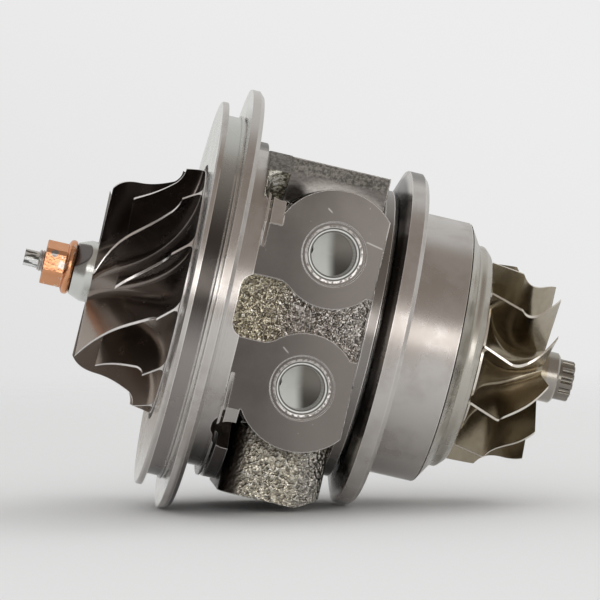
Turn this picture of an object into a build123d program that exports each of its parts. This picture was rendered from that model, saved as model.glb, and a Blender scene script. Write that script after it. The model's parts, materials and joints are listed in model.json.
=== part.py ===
from build123d import *
import math
import os

# Turbocharger cartridge. The shaft axis is X, with the compressor at minus X.
# The origin is on the shaft axis in the face of the large flange, where the
# compressor cover seats. Oil enters at plus Z and drains at minus Z, and the
# coolant ports face minus Y. Every size is in millimetres.

# Running clearances and seats
journal_clearance = 0.05
seal_clearance = 0.15
seat_gap = 0.1
face_gap = 0.3

# Compressor-side flanges of the bearing housing
cover_flange_radius = 59.0
cover_flange_thickness = 3.4
cover_flange_edge = 1.2
pilot_radius = 54.0
pilot_thickness = 1.65
pilot_front_x = -7.2
seal_land_radius = 50.6
land_ring_radius = 51.2
land_ring_width = 0.8
land_ring_end_x = -0.5
edge_break = 0.4
hub_radius = 45.6
hub_length = 5.4
disc_radius = 48.0
disc_lip_width = 0.6
disc_groove_width = 0.8
disc_groove_radius = 43.5
disc_width = 3.5

# Cast centre body
barrel_radius = 35.0
body_right_x = 44.3
end_ring_radius = 40.5
end_ring_width = 2.7
port_face_depth = 40.0
valley_depth = 2.6
valley_width = 17.0
valley_corner_radius = 4.0
port_pad_radius = 17.2
valley_radius = 14.7
upper_port_x = 28.9
upper_port_z = 19.3
lower_port_x = 28.6
lower_port_z = -17.2
pad_right_x = 41.7
oil_pad_height = 43.0
oil_pad_start_x = 7.6
oil_pad_half_width = 17.0
oil_pad_web_height = 33.0
drain_pad_depth = 49.7
drain_pad_half_width = 24.0
drain_pad_left_x = 14.2
pad_corner_radius = 6.5
drain_pad_chamfer_run = 6.4
drain_pad_chamfer_rise = 3.4
valley_left_x = 6.2
valley_blend_radius = 6.0
pocket_left_x = 7.8
pocket_length = 13.0
pocket_width = 11.0
pocket_floor_radius = 37.0
pocket_corner_radius = 5.0
front_pocket_angles = (45.5, -45.5)
rear_pocket_angles = (133.0, 180.0, -133.0)

# Turbine flange and nose
band_groove_width = 0.9
band_groove_radius = 36.5
band_cone_root_radius = 40.7
band_cone_width = 2.3
turbine_flange_radius = 47.0
turbine_flange_width = 5.0
turbine_flange_edge = 1.2
nose_radius = 36.75
nose_end_x = 67.3
nose_wall = 4.0
nose_pocket_x = 57.0
seal_boss_radius = 14.5
seal_boss_end_x = 69.6

# Openings of the centre body
coolant_thread_radius = 5.9
coolant_spotface_radius = 8.6
coolant_spotface_depth = 0.6
coolant_chamfer = 1.2
coolant_hole_depth = 9.5
drill_point_angle = 118.0
coolant_feed_radius = 1.8
coolant_feed_offset = 6.6
coolant_feed_cover = 4.0
oil_thread_radius = 5.1
oil_thread_depth = 12.0
oil_gallery_radius = 2.0
port_block_margin = 7.0
mill_room = 20.0
mill_top_z = 23.7
drain_length = 20.0
drain_width = 13.0
drain_bolt_radius = 3.4
drain_bolt_half_spacing = 17.0
drain_bolt_depth = 13.0
jacket_inner_radius = 15.0
jacket_outer_radius = 28.0
jacket_start_x = 20.0
jacket_end_x = 46.0
jacket_rib_end_x = 38.6
jacket_rib_half_width = 12.0

# Seal plate bore and thrust pocket
insert_radius = 36.0
insert_front_x = -6.2
insert_rim_front_x = -4.5
insert_back_x = 4.0
retaining_ring_thickness = 1.4
retaining_ring_depth = 1.2
insert_seal_groove_x = -1.4
insert_seal_groove_width = 2.4
insert_seal_groove_depth = 2.1
insert_seal_bore_radius = 7.7
thrust_pocket_radius = 25.0
thrust_pocket_depth = 5.6
collar_pocket_radius = 11.5

# Rotor
shaft_thread_radius = 2.65
shaft_end_x = -50.6
stub_length = 4.0
stub_across_flats = 4.5
compressor_shaft_radius = 3.0
journal_radius = 4.8
turbine_hub_radius = 8.75
turbine_hub_start_x = 61.0
shaft_joint_x = 74.2
seal_ring_groove_width = 1.6
seal_ring_width = 1.4
seal_ring_groove_depth = 1.6
turbine_ring_positions = (64.2, 67.0)
chamber_radius = 12.0
oil_thrower_radius = 8.6

# Bearings along the shaft
bearing_length = 9.0
bearing_wall = 2.55
front_bearing_x = 16.2
rear_bearing_x = 40.6
bearing_snap_ring_width = 1.2
bearing_snap_ring_depth = 0.8
bearing_snap_ring_bore = 1.0
bearing_oil_hole_radius = 1.0
bearing_oil_hole_count = 6
bearing_shoulder = 2.0
shaft_taper = 1.0

# Thrust bearing, collars and deflector
thrust_plate_thickness = 3.6
thrust_plate_radius = 24.6
thrust_bore_radius = 6.0
thrust_pad_count = 4
collar_radius = 10.2
collar_thickness = 2.4
deflector_thickness = 0.8
deflector_radius = 22.0
thrust_screw_circle = 20.0
thrust_screw_radius = 2.0
thrust_screw_head_radius = 3.4

# Compressor wheel
wheel_radius = 34.4
inducer_radius = 27.0
wheel_nose_radius = 8.5
wheel_nose_x = -36.7
wheel_nose_end_radius = 7.2
wheel_nose_cone = 3.4
inducer_x = -31.4
exducer_corner_x = -12.9
wheel_disc_x = -7.6
wheel_disc_thickness = 0.9
shroud_turn_start_x = -24.2
full_blade_count = 6
splitter_start_x = -25.4
splitter_rake = 1.5
blade_turn = 1.5
blade_entry_turn = 17.2
blade_entry_length = 3.4
blade_tip_thickness = 0.65
blade_root_thickness = 1.5
wheel_back_boss_radius = 10.0
wheel_back_x = -3.9

# Turbine wheel
turbine_blade_count = 11
turbine_tip_radius = 28.4
turbine_inlet_x = 75.4
turbine_corner_x = 84.1
turbine_exit_x = 95.4
turbine_exit_radius = 24.9
turbine_knee_x = 86.2
turbine_throat_x = 90.5
turbine_throat_radius = 24.6
turbine_back_radius = 23.0
turbine_blade_lean = 0.8
turbine_exit_turn = 0.284
turbine_turn_start_x = 83.0
turbine_turn_power = 1.9
turbine_tip_thickness = 0.6
turbine_root_thickness = 2.0
turbine_nose_radius = 7.1
turbine_nose_end_x = 100.6
drive_radius = 5.7
drive_length = 4.5
drive_points = 12

# Heat shield
shield_thickness = 1.0
shield_rim_radius = 36.6
shield_shoulder_x = 71.0
shield_step_radius = 31.3
shield_face_x = 74.9
shield_edge_run = 2.1
shield_bend_radius = 1.2
shield_bore_radius = 11.0

# Lock nut
nut_flange_radius = 7.1
nut_flange_thickness = 2.2
nut_flange_edge = 0.4
nut_across_flats = 11.2
nut_hex_length = 6.2
nut_chamfer = 0.9

# Small details
retaining_ring_width = 1.2
retaining_ring_gap = 9.0
deflector_clearance = 0.7
deflector_tongue_length = 9.0
deflector_tongue_width = 10.0
deflector_tongue_drop = 17.5
thrust_screw_count = 3
thrust_screw_length = 6.5
thrust_screw_head_thickness = 1.4
thrust_screw_socket_radius = 1.7
thrust_screw_socket_depth = 0.9
thrust_groove_width = 1.4
thrust_groove_depth = 0.5
drain_gutter_depth = 28.0
gutter_overlap = 4.0
gutter_margin = 1.0
bearing_snap_ring_gap = 2.4
flinger_groove_x = 0.2
seal_ring_depth = 1.4
seal_ring_gap = 0.6
thrower_x = 55.5
thrower_width = 2.5
thrower_root_radius = 6.5
collar_sleeve_radius = 5.9
blade_embed = 0.9
blade_step = 0.03
compressor_blade_stations = 9
turbine_blade_stations = 9
first_compressor_blade = -1.5
first_turbine_blade = -9.0
turbine_disc_thickness = 1.0
hub_run = 2.0
drive_shoulder = 0.9
drive_notch_radius = 0.75
balance_cut_angle = 39.0
balance_cut_height = 5.9
balance_cut_tilt = 33.0
nut_flange_cone = 1.3
nut_bore_gap = 0.05

# Places that follow from the sizes above
hub_back_x = cover_flange_thickness + hub_length
groove_start_x = hub_back_x + disc_lip_width
disc_start_x = groove_start_x + disc_groove_width
disc_end_x = disc_start_x + disc_width
band_wall_x = body_right_x + band_groove_width
turbine_flange_x = band_wall_x + band_cone_width
turbine_flange_back_x = turbine_flange_x + turbine_flange_width
thrust_back_x = insert_back_x + thrust_pocket_depth
thrust_plate_x = thrust_back_x - thrust_plate_thickness
collar_x = thrust_back_x + journal_clearance
bearing_bore_radius = journal_radius + bearing_wall + 2 * journal_clearance
bearing_bore_start_x = collar_x + collar_thickness + face_gap
nut_flange_x = wheel_nose_x - nut_flange_thickness
nut_end_x = nut_flange_x - nut_hex_length
thread_start_x = shaft_end_x + stub_length
wheel_disc_back_x = wheel_disc_x + wheel_disc_thickness
blade_radius = wheel_radius - blade_step
oil_pad_x = (oil_pad_start_x + pad_right_x) / 2
oil_boss_base = thrust_pocket_radius + 2
drain_pad_x = (drain_pad_left_x + pad_right_x) / 2
turbine_groove_radius = turbine_hub_radius - seal_ring_groove_depth
thrust_face_plane = Plane(origin=(thrust_plate_x, 0, 0), x_dir=(0, 1, 0), z_dir=(-1, 0, 0))
snap_ring_positions = [
    front_bearing_x - face_gap - bearing_snap_ring_width,
    front_bearing_x + bearing_length + face_gap,
    rear_bearing_x - face_gap - bearing_snap_ring_width,
    rear_bearing_x + bearing_length + face_gap,
]


def revolved(points):
    """A closed half section, as points of axial place and radius, turned about X."""
    with BuildSketch(Plane.XY) as section:
        with BuildLine():
            Polyline(*points, close=True)
        make_face()
    revolve(section.sketch, axis=Axis.X)


def ring(x_start, x_end, inner, outer, mode=Mode.ADD):
    """A plain ring about the shaft axis."""
    with BuildSketch(Plane.YZ.offset(x_start)) as section:
        Circle(outer)
        if inner > 0:
            Circle(inner, mode=Mode.SUBTRACT)
    extrude(section.sketch, amount=x_end - x_start, mode=mode)


def split_ring(x_start, x_end, inner, outer, gap, gap_angle):
    """A ring with a gap at the given angle from plus Y, such as a snap ring."""
    with BuildSketch(Plane.YZ.offset(x_start)) as section:
        Circle(outer)
        Circle(inner, mode=Mode.SUBTRACT)
        with Locations(Rot(0, 0, gap_angle) * Pos((inner + outer) / 2, 0)):
            Rectangle(2 * (outer - inner) + 1, gap, mode=Mode.SUBTRACT)
    extrude(section.sketch, amount=x_end - x_start)


def compressor_turn(x):
    """Wrap angle of a compressor blade at an axial place, in degrees."""
    run = x - inducer_x
    return -(blade_turn * run + blade_entry_turn * (1 - math.exp(-run / blade_entry_length)))


def turbine_turn(x):
    """Wrap angle of a turbine blade at an axial place, in degrees."""
    lean = turbine_blade_lean * (x - turbine_inlet_x)
    run = max(0.0, x - turbine_turn_start_x)
    return lean - turbine_exit_turn * run**turbine_turn_power


def blade(stations, turn, inner, outer, root, tip, start_angle):
    """A radial-fibre blade: tapered radial strips at each station, lofted along X.

    Angles count from minus Y, positive towards minus Z.
    """
    strips = []
    for x in stations:
        with BuildSketch(Plane.YZ.offset(x) * Rot(0, 0, 180 + start_angle + turn(x))) as strip:
            with BuildLine():
                Polyline(
                    (inner, -root / 2),
                    (outer, -tip / 2),
                    (outer, tip / 2),
                    (inner, root / 2),
                    close=True,
                )
            make_face()
        strips.append(strip.sketch)
    loft(sections=strips)


def spaced(start, end, count):
    """Evenly spaced stations from start to end."""
    return [start + (end - start) * k / (count - 1) for k in range(count)]


# Coolant jacket round the bearings, with ribs for the oil inlet and the drain
with BuildPart() as coolant_jacket:
    ring(jacket_start_x, jacket_end_x, jacket_inner_radius, jacket_outer_radius)
    with Locations(((jacket_start_x + jacket_rib_end_x) / 2, 0, 0)):
        Box(
            jacket_rib_end_x - jacket_start_x,
            2 * jacket_rib_half_width,
            4 * jacket_outer_radius,
            mode=Mode.SUBTRACT,
        )
    with Locations((jacket_end_x, 0, -jacket_outer_radius)):
        Box(
            2 * (jacket_end_x - jacket_start_x),
            2 * jacket_rib_half_width,
            2 * jacket_outer_radius,
            mode=Mode.SUBTRACT,
        )

# Bearing housing: turned flanges and bores, cast body, pads and pockets
with BuildPart() as bearing_housing:
    revolved(
        [
            (pilot_front_x, insert_radius),
            (pilot_front_x, pilot_radius - edge_break),
            (pilot_front_x + edge_break, pilot_radius),
            (pilot_front_x + pilot_thickness, pilot_radius),
            (pilot_front_x + pilot_thickness, seal_land_radius),
            (land_ring_end_x - land_ring_width, seal_land_radius),
            (land_ring_end_x - land_ring_width, land_ring_radius),
            (land_ring_end_x, land_ring_radius),
            (land_ring_end_x, seal_land_radius - edge_break),
            (0, seal_land_radius - edge_break),
            (0, cover_flange_radius),
            (cover_flange_thickness - cover_flange_edge, cover_flange_radius),
            (cover_flange_thickness, cover_flange_radius - cover_flange_edge),
            (cover_flange_thickness, hub_radius),
            (hub_back_x, hub_radius),
            (hub_back_x, disc_radius),
            (groove_start_x, disc_radius),
            (groove_start_x, disc_groove_radius),
            (disc_start_x, disc_groove_radius),
            (disc_start_x, disc_radius),
            (disc_end_x, disc_radius),
            (disc_end_x, barrel_radius),
            (body_right_x - end_ring_width, barrel_radius),
            (body_right_x - end_ring_width, end_ring_radius),
            (body_right_x, end_ring_radius),
            (body_right_x, band_groove_radius),
            (band_wall_x, band_groove_radius),
            (band_wall_x, band_cone_root_radius),
            (turbine_flange_x, turbine_flange_radius),
            (turbine_flange_back_x - turbine_flange_edge, turbine_flange_radius),
            (turbine_flange_back_x, turbine_flange_radius - turbine_flange_edge),
            (turbine_flange_back_x, nose_radius),
            (nose_end_x, nose_radius),
            (nose_end_x, nose_radius - nose_wall),
            (nose_pocket_x, nose_radius - nose_wall),
            (nose_pocket_x, seal_boss_radius),
            (seal_boss_end_x, seal_boss_radius),
            (seal_boss_end_x, turbine_hub_radius + seal_clearance),
            (turbine_hub_start_x, turbine_hub_radius + seal_clearance),
            (turbine_hub_start_x, chamber_radius),
            (rear_bearing_x + bearing_length + bearing_shoulder, chamber_radius),
            (rear_bearing_x + bearing_length + bearing_shoulder, bearing_bore_radius),
            (bearing_bore_start_x, bearing_bore_radius),
            (bearing_bore_start_x, collar_pocket_radius),
            (thrust_back_x, collar_pocket_radius),
            (thrust_back_x, thrust_pocket_radius),
            (insert_back_x, thrust_pocket_radius),
            (insert_back_x, insert_radius),
            (insert_rim_front_x, insert_radius),
            (insert_rim_front_x, insert_radius + retaining_ring_depth),
            (insert_rim_front_x - retaining_ring_thickness, insert_radius + retaining_ring_depth),
            (insert_rim_front_x - retaining_ring_thickness, insert_radius),
        ]
    )
    # Front block that carries the two coolant ports, with its cast valley level
    block_face = port_face_depth - valley_depth
    with BuildSketch(Plane.XZ.offset(barrel_radius / 2)):
        with Locations((upper_port_x, upper_port_z), (lower_port_x, lower_port_z)):
            Circle(port_pad_radius)
        with Locations(((disc_end_x + pad_right_x) / 2, 0)):
            Rectangle(pad_right_x - disc_end_x, 2 * (upper_port_z + port_block_margin))
        with Locations((pad_right_x + port_pad_radius, 0)):
            Rectangle(2 * port_pad_radius, 6 * port_pad_radius, mode=Mode.SUBTRACT)
    extrude(amount=port_face_depth - barrel_radius / 2)
    # Oil inlet boss on top and drain boss below
    with BuildSketch(Plane.XY.offset(oil_boss_base)):
        with Locations((oil_pad_x, 0)):
            Rectangle(pad_right_x - oil_pad_start_x, 2 * oil_pad_half_width)
    extrude(amount=oil_pad_height - oil_boss_base)
    with BuildSketch(Plane.YZ.offset(oil_pad_start_x)):
        with Locations((0, oil_pad_web_height)):
            Rectangle(2 * disc_radius, disc_radius, align=(Align.CENTER, Align.MIN))
        Circle(disc_radius, mode=Mode.INTERSECT)
    extrude(amount=disc_end_x - oil_pad_start_x)
    with BuildSketch(Plane.XY.offset(-drain_pad_depth)):
        with Locations((drain_pad_x, 0)):
            RectangleRounded(pad_right_x - drain_pad_left_x, 2 * drain_pad_half_width, pad_corner_radius)
    extrude(amount=drain_pad_depth - barrel_radius / 2)
    with BuildSketch(Plane.XZ):
        with BuildLine():
            Polyline(
                (pad_right_x - drain_pad_chamfer_run, -drain_pad_depth),
                (pad_right_x, -drain_pad_depth),
                (pad_right_x, drain_pad_chamfer_rise - drain_pad_depth),
                close=True,
            )
        make_face()
    extrude(amount=drain_pad_half_width, both=True, mode=Mode.SUBTRACT)
    # The mill that faces the ports and the oil pad also levels the disc rim
    mill_x = (hub_back_x + body_right_x) / 2
    mill_length = body_right_x - hub_back_x
    with Locations((mill_x, -port_face_depth, mill_top_z)):
        Box(
            mill_length,
            mill_room,
            4 * barrel_radius,
            align=(Align.CENTER, Align.MAX, Align.MAX),
            mode=Mode.SUBTRACT,
        )
    with Locations((oil_pad_start_x, 0, oil_pad_height)):
        Box(
            body_right_x - oil_pad_start_x,
            4 * barrel_radius,
            barrel_radius,
            align=(Align.MIN, Align.CENTER, Align.MIN),
            mode=Mode.SUBTRACT,
        )
    # Cast valley between the two port pads, running out into the hub
    valley_centre = (upper_port_z + lower_port_z) / 2
    with BuildSketch(Plane.XZ.offset(block_face)):
        with Locations(((valley_left_x + body_right_x) / 2, valley_centre)):
            RectangleRounded(body_right_x - valley_left_x, valley_width, valley_corner_radius)
        with Locations((upper_port_x, upper_port_z), (lower_port_x, lower_port_z)):
            Circle(valley_radius, mode=Mode.SUBTRACT)
        blends = vertices().filter_by_position(Axis.X, disc_end_x, upper_port_x - valley_radius / 2)
        fillet(blends, radius=valley_blend_radius)
        with Locations((pad_right_x + port_pad_radius, 0)):
            Rectangle(2 * port_pad_radius, 2 * port_pad_radius, mode=Mode.SUBTRACT)
    extrude(amount=valley_depth + disc_radius, mode=Mode.SUBTRACT)
    # Cast pockets in the hub and disc between the bosses
    for angle in front_pocket_angles + rear_pocket_angles:
        outward = Vector(0, -math.cos(math.radians(angle)), math.sin(math.radians(angle)))
        pocket_plane = Plane(
            origin=outward * pocket_floor_radius + Vector(pocket_left_x + pocket_length / 2, 0, 0),
            x_dir=(1, 0, 0),
            z_dir=outward,
        )
        with BuildSketch(pocket_plane):
            RectangleRounded(pocket_length, pocket_width, pocket_corner_radius)
        extrude(amount=disc_radius, mode=Mode.SUBTRACT)

    # Coolant ports: spot face, thread hole with its drill point, lead-in chamfer,
    # and a narrow feed from the jacket that opens in the side of the hole
    drill_point_depth = coolant_thread_radius / math.tan(math.radians(drill_point_angle / 2))
    feed_length = port_face_depth - coolant_hole_depth + coolant_feed_cover
    for x, z in ((upper_port_x, upper_port_z), (lower_port_x, lower_port_z)):
        port_plane = Plane(origin=(x, -port_face_depth, z), x_dir=(1, 0, 0), z_dir=(0, -1, 0))
        with Locations(port_plane):
            CounterBoreHole(
                radius=coolant_thread_radius,
                counter_bore_radius=coolant_spotface_radius,
                counter_bore_depth=coolant_spotface_depth,
                depth=coolant_hole_depth,
            )
        with Locations(port_plane.offset(-coolant_spotface_depth - coolant_chamfer / 2)):
            Cone(
                coolant_thread_radius,
                coolant_thread_radius + coolant_chamfer,
                coolant_chamfer,
                mode=Mode.SUBTRACT,
            )
        with Locations(port_plane.offset(-coolant_hole_depth)):
            Cone(
                0,
                coolant_thread_radius,
                drill_point_depth,
                align=(Align.CENTER, Align.CENTER, Align.MAX),
                mode=Mode.SUBTRACT,
            )
        with Locations(port_plane.offset(coolant_feed_cover - coolant_hole_depth)):
            with Locations((-coolant_feed_offset, 0)):
                Cylinder(
                    coolant_feed_radius,
                    feed_length - jacket_inner_radius,
                    align=(Align.CENTER, Align.CENTER, Align.MAX),
                    mode=Mode.SUBTRACT,
                )
    add(coolant_jacket.part, mode=Mode.SUBTRACT)
    # Oil inlet, with one gallery to each journal bearing
    inlet_plane = Plane(origin=(oil_pad_x, 0, oil_pad_height))
    with Locations(inlet_plane):
        Hole(oil_thread_radius, depth=oil_thread_depth)
    for bearing_x in (front_bearing_x, rear_bearing_x):
        start = Vector(oil_pad_x, 0, oil_pad_height - oil_thread_depth + oil_gallery_radius)
        end = Vector(bearing_x + bearing_length / 2, 0, 0)
        gallery = end - start
        with Locations(Plane(origin=start, z_dir=gallery)):
            Cylinder(
                oil_gallery_radius,
                gallery.length - bearing_bore_radius / 2,
                align=(Align.CENTER, Align.CENTER, Align.MIN),
                mode=Mode.SUBTRACT,
            )
    # Oil drain: slot in the pad, gutter under both bearings, pad bolt holes
    drain_plane = Plane(origin=(drain_pad_x, 0, -drain_pad_depth), x_dir=(0, 1, 0), z_dir=(0, 0, -1))
    with BuildSketch(drain_plane):
        SlotOverall(drain_length, drain_width)
    extrude(amount=-(drain_pad_depth - chamber_radius), mode=Mode.SUBTRACT)
    gutter_end_x = turbine_hub_start_x - gutter_margin
    with Locations(((thrust_back_x + gutter_end_x) / 2, 0, -(chamber_radius + drain_gutter_depth) / 2)):
        Box(
            gutter_end_x - thrust_back_x,
            drain_width,
            drain_gutter_depth - chamber_radius + gutter_overlap,
            mode=Mode.SUBTRACT,
        )
    window_start_x = snap_ring_positions[1] + bearing_snap_ring_width + gutter_margin
    window_end_x = snap_ring_positions[2] - gutter_margin
    with Locations(((window_start_x + window_end_x) / 2, 0, -chamber_radius / 2)):
        Box(window_end_x - window_start_x, bearing_bore_radius, chamber_radius, mode=Mode.SUBTRACT)
    with Locations(drain_plane):
        with Locations((-drain_bolt_half_spacing, 0), (drain_bolt_half_spacing, 0)):
            Hole(drain_bolt_radius, depth=drain_bolt_depth)
    # Screw holes of the thrust bearing
    with Locations(thrust_face_plane.offset(-thrust_plate_thickness)):
        with PolarLocations(thrust_screw_circle, thrust_screw_count, start_angle=-90):
            Hole(thrust_screw_radius + seat_gap / 2, depth=thrust_screw_length)
    # Grooves of the four bearing snap rings
    for x in snap_ring_positions:
        ring(
            x,
            x + bearing_snap_ring_width,
            0,
            bearing_bore_radius + bearing_snap_ring_depth,
            Mode.SUBTRACT,
        )
bearing_housing.part.label = "bearing_housing"

# Seal plate behind the compressor wheel
with BuildPart() as seal_plate:
    plate_radius = insert_radius - seat_gap
    rim_radius = insert_radius - retaining_ring_width
    groove_radius = insert_radius - insert_seal_groove_depth
    revolved(
        [
            (insert_rim_front_x, plate_radius),
            (insert_seal_groove_x, plate_radius),
            (insert_seal_groove_x, groove_radius),
            (insert_seal_groove_x + insert_seal_groove_width, groove_radius),
            (insert_seal_groove_x + insert_seal_groove_width, plate_radius),
            (insert_back_x, plate_radius),
            (insert_back_x, insert_seal_bore_radius),
            (wheel_back_x + 2 * face_gap, insert_seal_bore_radius),
            (wheel_back_x + 2 * face_gap, wheel_back_boss_radius + 1.5),
            (insert_front_x, wheel_back_boss_radius + 4.0),
            (insert_front_x, rim_radius - seat_gap),
            (insert_rim_front_x, rim_radius - seat_gap),
        ]
    )
seal_plate.part.label = "seal_plate"

# Rubber ring that seals the seal plate in its bore
with BuildPart() as seal_plate_o_ring:
    cord_radius = insert_seal_groove_depth / 2 - seat_gap / 2
    with BuildSketch(Plane.XY):
        with Locations(
            (
                insert_seal_groove_x + insert_seal_groove_width / 2,
                insert_radius - insert_seal_groove_depth / 2,
            )
        ):
            Circle(cord_radius)
    revolve(axis=Axis.X)
seal_plate_o_ring.part.label = "seal_plate_o_ring"

# Snap ring that keeps the seal plate in
with BuildPart() as retaining_ring:
    split_ring(
        insert_rim_front_x - retaining_ring_thickness + seat_gap,
        insert_rim_front_x,
        insert_radius - retaining_ring_width,
        insert_radius + retaining_ring_depth - seat_gap,
        retaining_ring_gap,
        -90,
    )
retaining_ring.part.label = "retaining_ring"

# Sheet deflector that keeps oil off the compressor seal
with BuildPart() as oil_deflector:
    with BuildSketch(Plane.YZ.offset(insert_back_x)):
        Circle(deflector_radius)
        Circle(collar_radius + deflector_clearance, mode=Mode.SUBTRACT)
    extrude(amount=deflector_thickness)
    # Bent tongue that leads the oil through the thrust bearing to the drain
    with Locations((insert_back_x, 0, -deflector_tongue_drop)):
        Box(
            deflector_tongue_length,
            deflector_tongue_width,
            deflector_thickness,
            align=(Align.MIN, Align.CENTER, Align.CENTER),
        )
oil_deflector.part.label = "oil_deflector"

# Thrust bearing: bronze plate with oil grooves between its pads
with BuildPart() as thrust_bearing:
    ring(thrust_plate_x, thrust_back_x, thrust_bore_radius, thrust_plate_radius)
    with Locations(thrust_face_plane):
        with PolarLocations(thrust_screw_circle, thrust_screw_count, start_angle=-90):
            CounterBoreHole(
                radius=thrust_screw_radius + seat_gap,
                counter_bore_radius=thrust_screw_head_radius + seat_gap,
                counter_bore_depth=thrust_screw_head_thickness + seat_gap,
                depth=thrust_plate_thickness,
            )
    for face_x in (thrust_plate_x, thrust_back_x):
        for k in range(thrust_pad_count):
            turn = 360 / thrust_pad_count * (k + 0.5)
            with BuildSketch(Plane.YZ.offset(face_x)):
                with Locations(Rot(0, 0, turn) * Pos((thrust_bore_radius + collar_radius) / 2, 0)):
                    Rectangle(collar_radius - thrust_bore_radius + 1, thrust_groove_width)
            extrude(amount=thrust_groove_depth, both=True, mode=Mode.SUBTRACT)
    # The lower side is open, so that oil falls to the drain
    with BuildSketch(Plane.YZ.offset(thrust_plate_x)):
        with Locations((0, -thrust_plate_radius)):
            Rectangle(drain_width, 2 * (thrust_plate_radius - collar_radius - 3.0))
    extrude(amount=thrust_plate_thickness, mode=Mode.SUBTRACT)
thrust_bearing.part.label = "thrust_bearing"

# Socket screws of the thrust bearing, with their heads sunk in it
with BuildPart() as thrust_screws:
    with Locations(thrust_face_plane):
        with PolarLocations(thrust_screw_circle, thrust_screw_count, start_angle=-90):
            Cylinder(
                thrust_screw_radius,
                thrust_plate_thickness + thrust_screw_length - 1.0,
                align=(Align.CENTER, Align.CENTER, Align.MAX),
            )
            Cylinder(
                thrust_screw_head_radius,
                thrust_screw_head_thickness,
                align=(Align.CENTER, Align.CENTER, Align.MAX),
            )
    with BuildSketch(thrust_face_plane):
        with PolarLocations(thrust_screw_circle, thrust_screw_count, start_angle=-90):
            RegularPolygon(thrust_screw_socket_radius, 6)
    extrude(amount=-thrust_screw_socket_depth, mode=Mode.SUBTRACT)
thrust_screws.part.label = "thrust_screws"

# Floating journal bearings with their oil holes
journal_bearings = []
for name, bearing_x in (("front", front_bearing_x), ("rear", rear_bearing_x)):
    with BuildPart() as journal_bearing:
        ring(
            bearing_x,
            bearing_x + bearing_length,
            journal_radius + journal_clearance,
            bearing_bore_radius - journal_clearance,
        )
        with Locations(Plane(origin=(bearing_x + bearing_length / 2, 0, 0), x_dir=(0, 1, 0), z_dir=(1, 0, 0))):
            with PolarLocations(0, bearing_oil_hole_count):
                Cylinder(
                    bearing_oil_hole_radius,
                    2 * bearing_bore_radius,
                    rotation=(0, 90, 0),
                    align=(Align.CENTER, Align.CENTER, Align.MIN),
                    mode=Mode.SUBTRACT,
                )
    journal_bearing.part.label = f"journal_bearing_{name}"
    journal_bearings.append(journal_bearing.part)

# Snap rings each side of the journal bearings
snap_rings = []
for number, x in enumerate(snap_ring_positions, 1):
    with BuildPart() as snap_ring:
        split_ring(
            x + seat_gap / 2,
            x + bearing_snap_ring_width - seat_gap / 2,
            bearing_bore_radius - bearing_snap_ring_bore,
            bearing_bore_radius + bearing_snap_ring_depth - seat_gap,
            bearing_snap_ring_gap,
            -90,
        )
    snap_ring.part.label = f"bearing_snap_ring_{number}"
    snap_rings.append(snap_ring.part)

# Piston-type seal rings: one in the seal plate, two in the turbine end
with BuildPart() as compressor_seal_ring:
    split_ring(
        flinger_groove_x + seat_gap,
        flinger_groove_x + seat_gap + seal_ring_width,
        insert_seal_bore_radius - seal_ring_depth,
        insert_seal_bore_radius - seat_gap / 5,
        seal_ring_gap,
        -90,
    )
compressor_seal_ring.part.label = "compressor_seal_ring"

turbine_seal_rings = []
for number, x in enumerate(turbine_ring_positions, 1):
    with BuildPart() as turbine_seal_ring:
        split_ring(
            x + seat_gap,
            x + seat_gap + seal_ring_width,
            turbine_hub_radius + seal_clearance - seal_ring_depth,
            turbine_hub_radius + seal_clearance - seat_gap / 5,
            seal_ring_gap,
            90 * (3 - 2 * number),
        )
    turbine_seal_ring.part.label = f"turbine_seal_ring_{number}"
    turbine_seal_rings.append(turbine_seal_ring.part)

# Pressed heat shield behind the turbine wheel
with BuildPart() as heat_shield:
    with BuildSketch(Plane.XY):
        with BuildLine():
            FilletPolyline(
                (nose_end_x + face_gap, shield_rim_radius),
                (shield_shoulder_x, shield_step_radius),
                (shield_face_x - shield_edge_run, shield_step_radius),
                (shield_face_x, shield_step_radius - shield_edge_run),
                (shield_face_x, shield_bore_radius),
                radius=shield_bend_radius,
            )
            offset(amount=shield_thickness, side=Side.RIGHT)
        make_face()
    revolve(axis=Axis.X)
    ring(seal_boss_end_x - 5, nose_end_x + face_gap, 0, pilot_radius, Mode.SUBTRACT)
heat_shield.part.label = "heat_shield"

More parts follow.
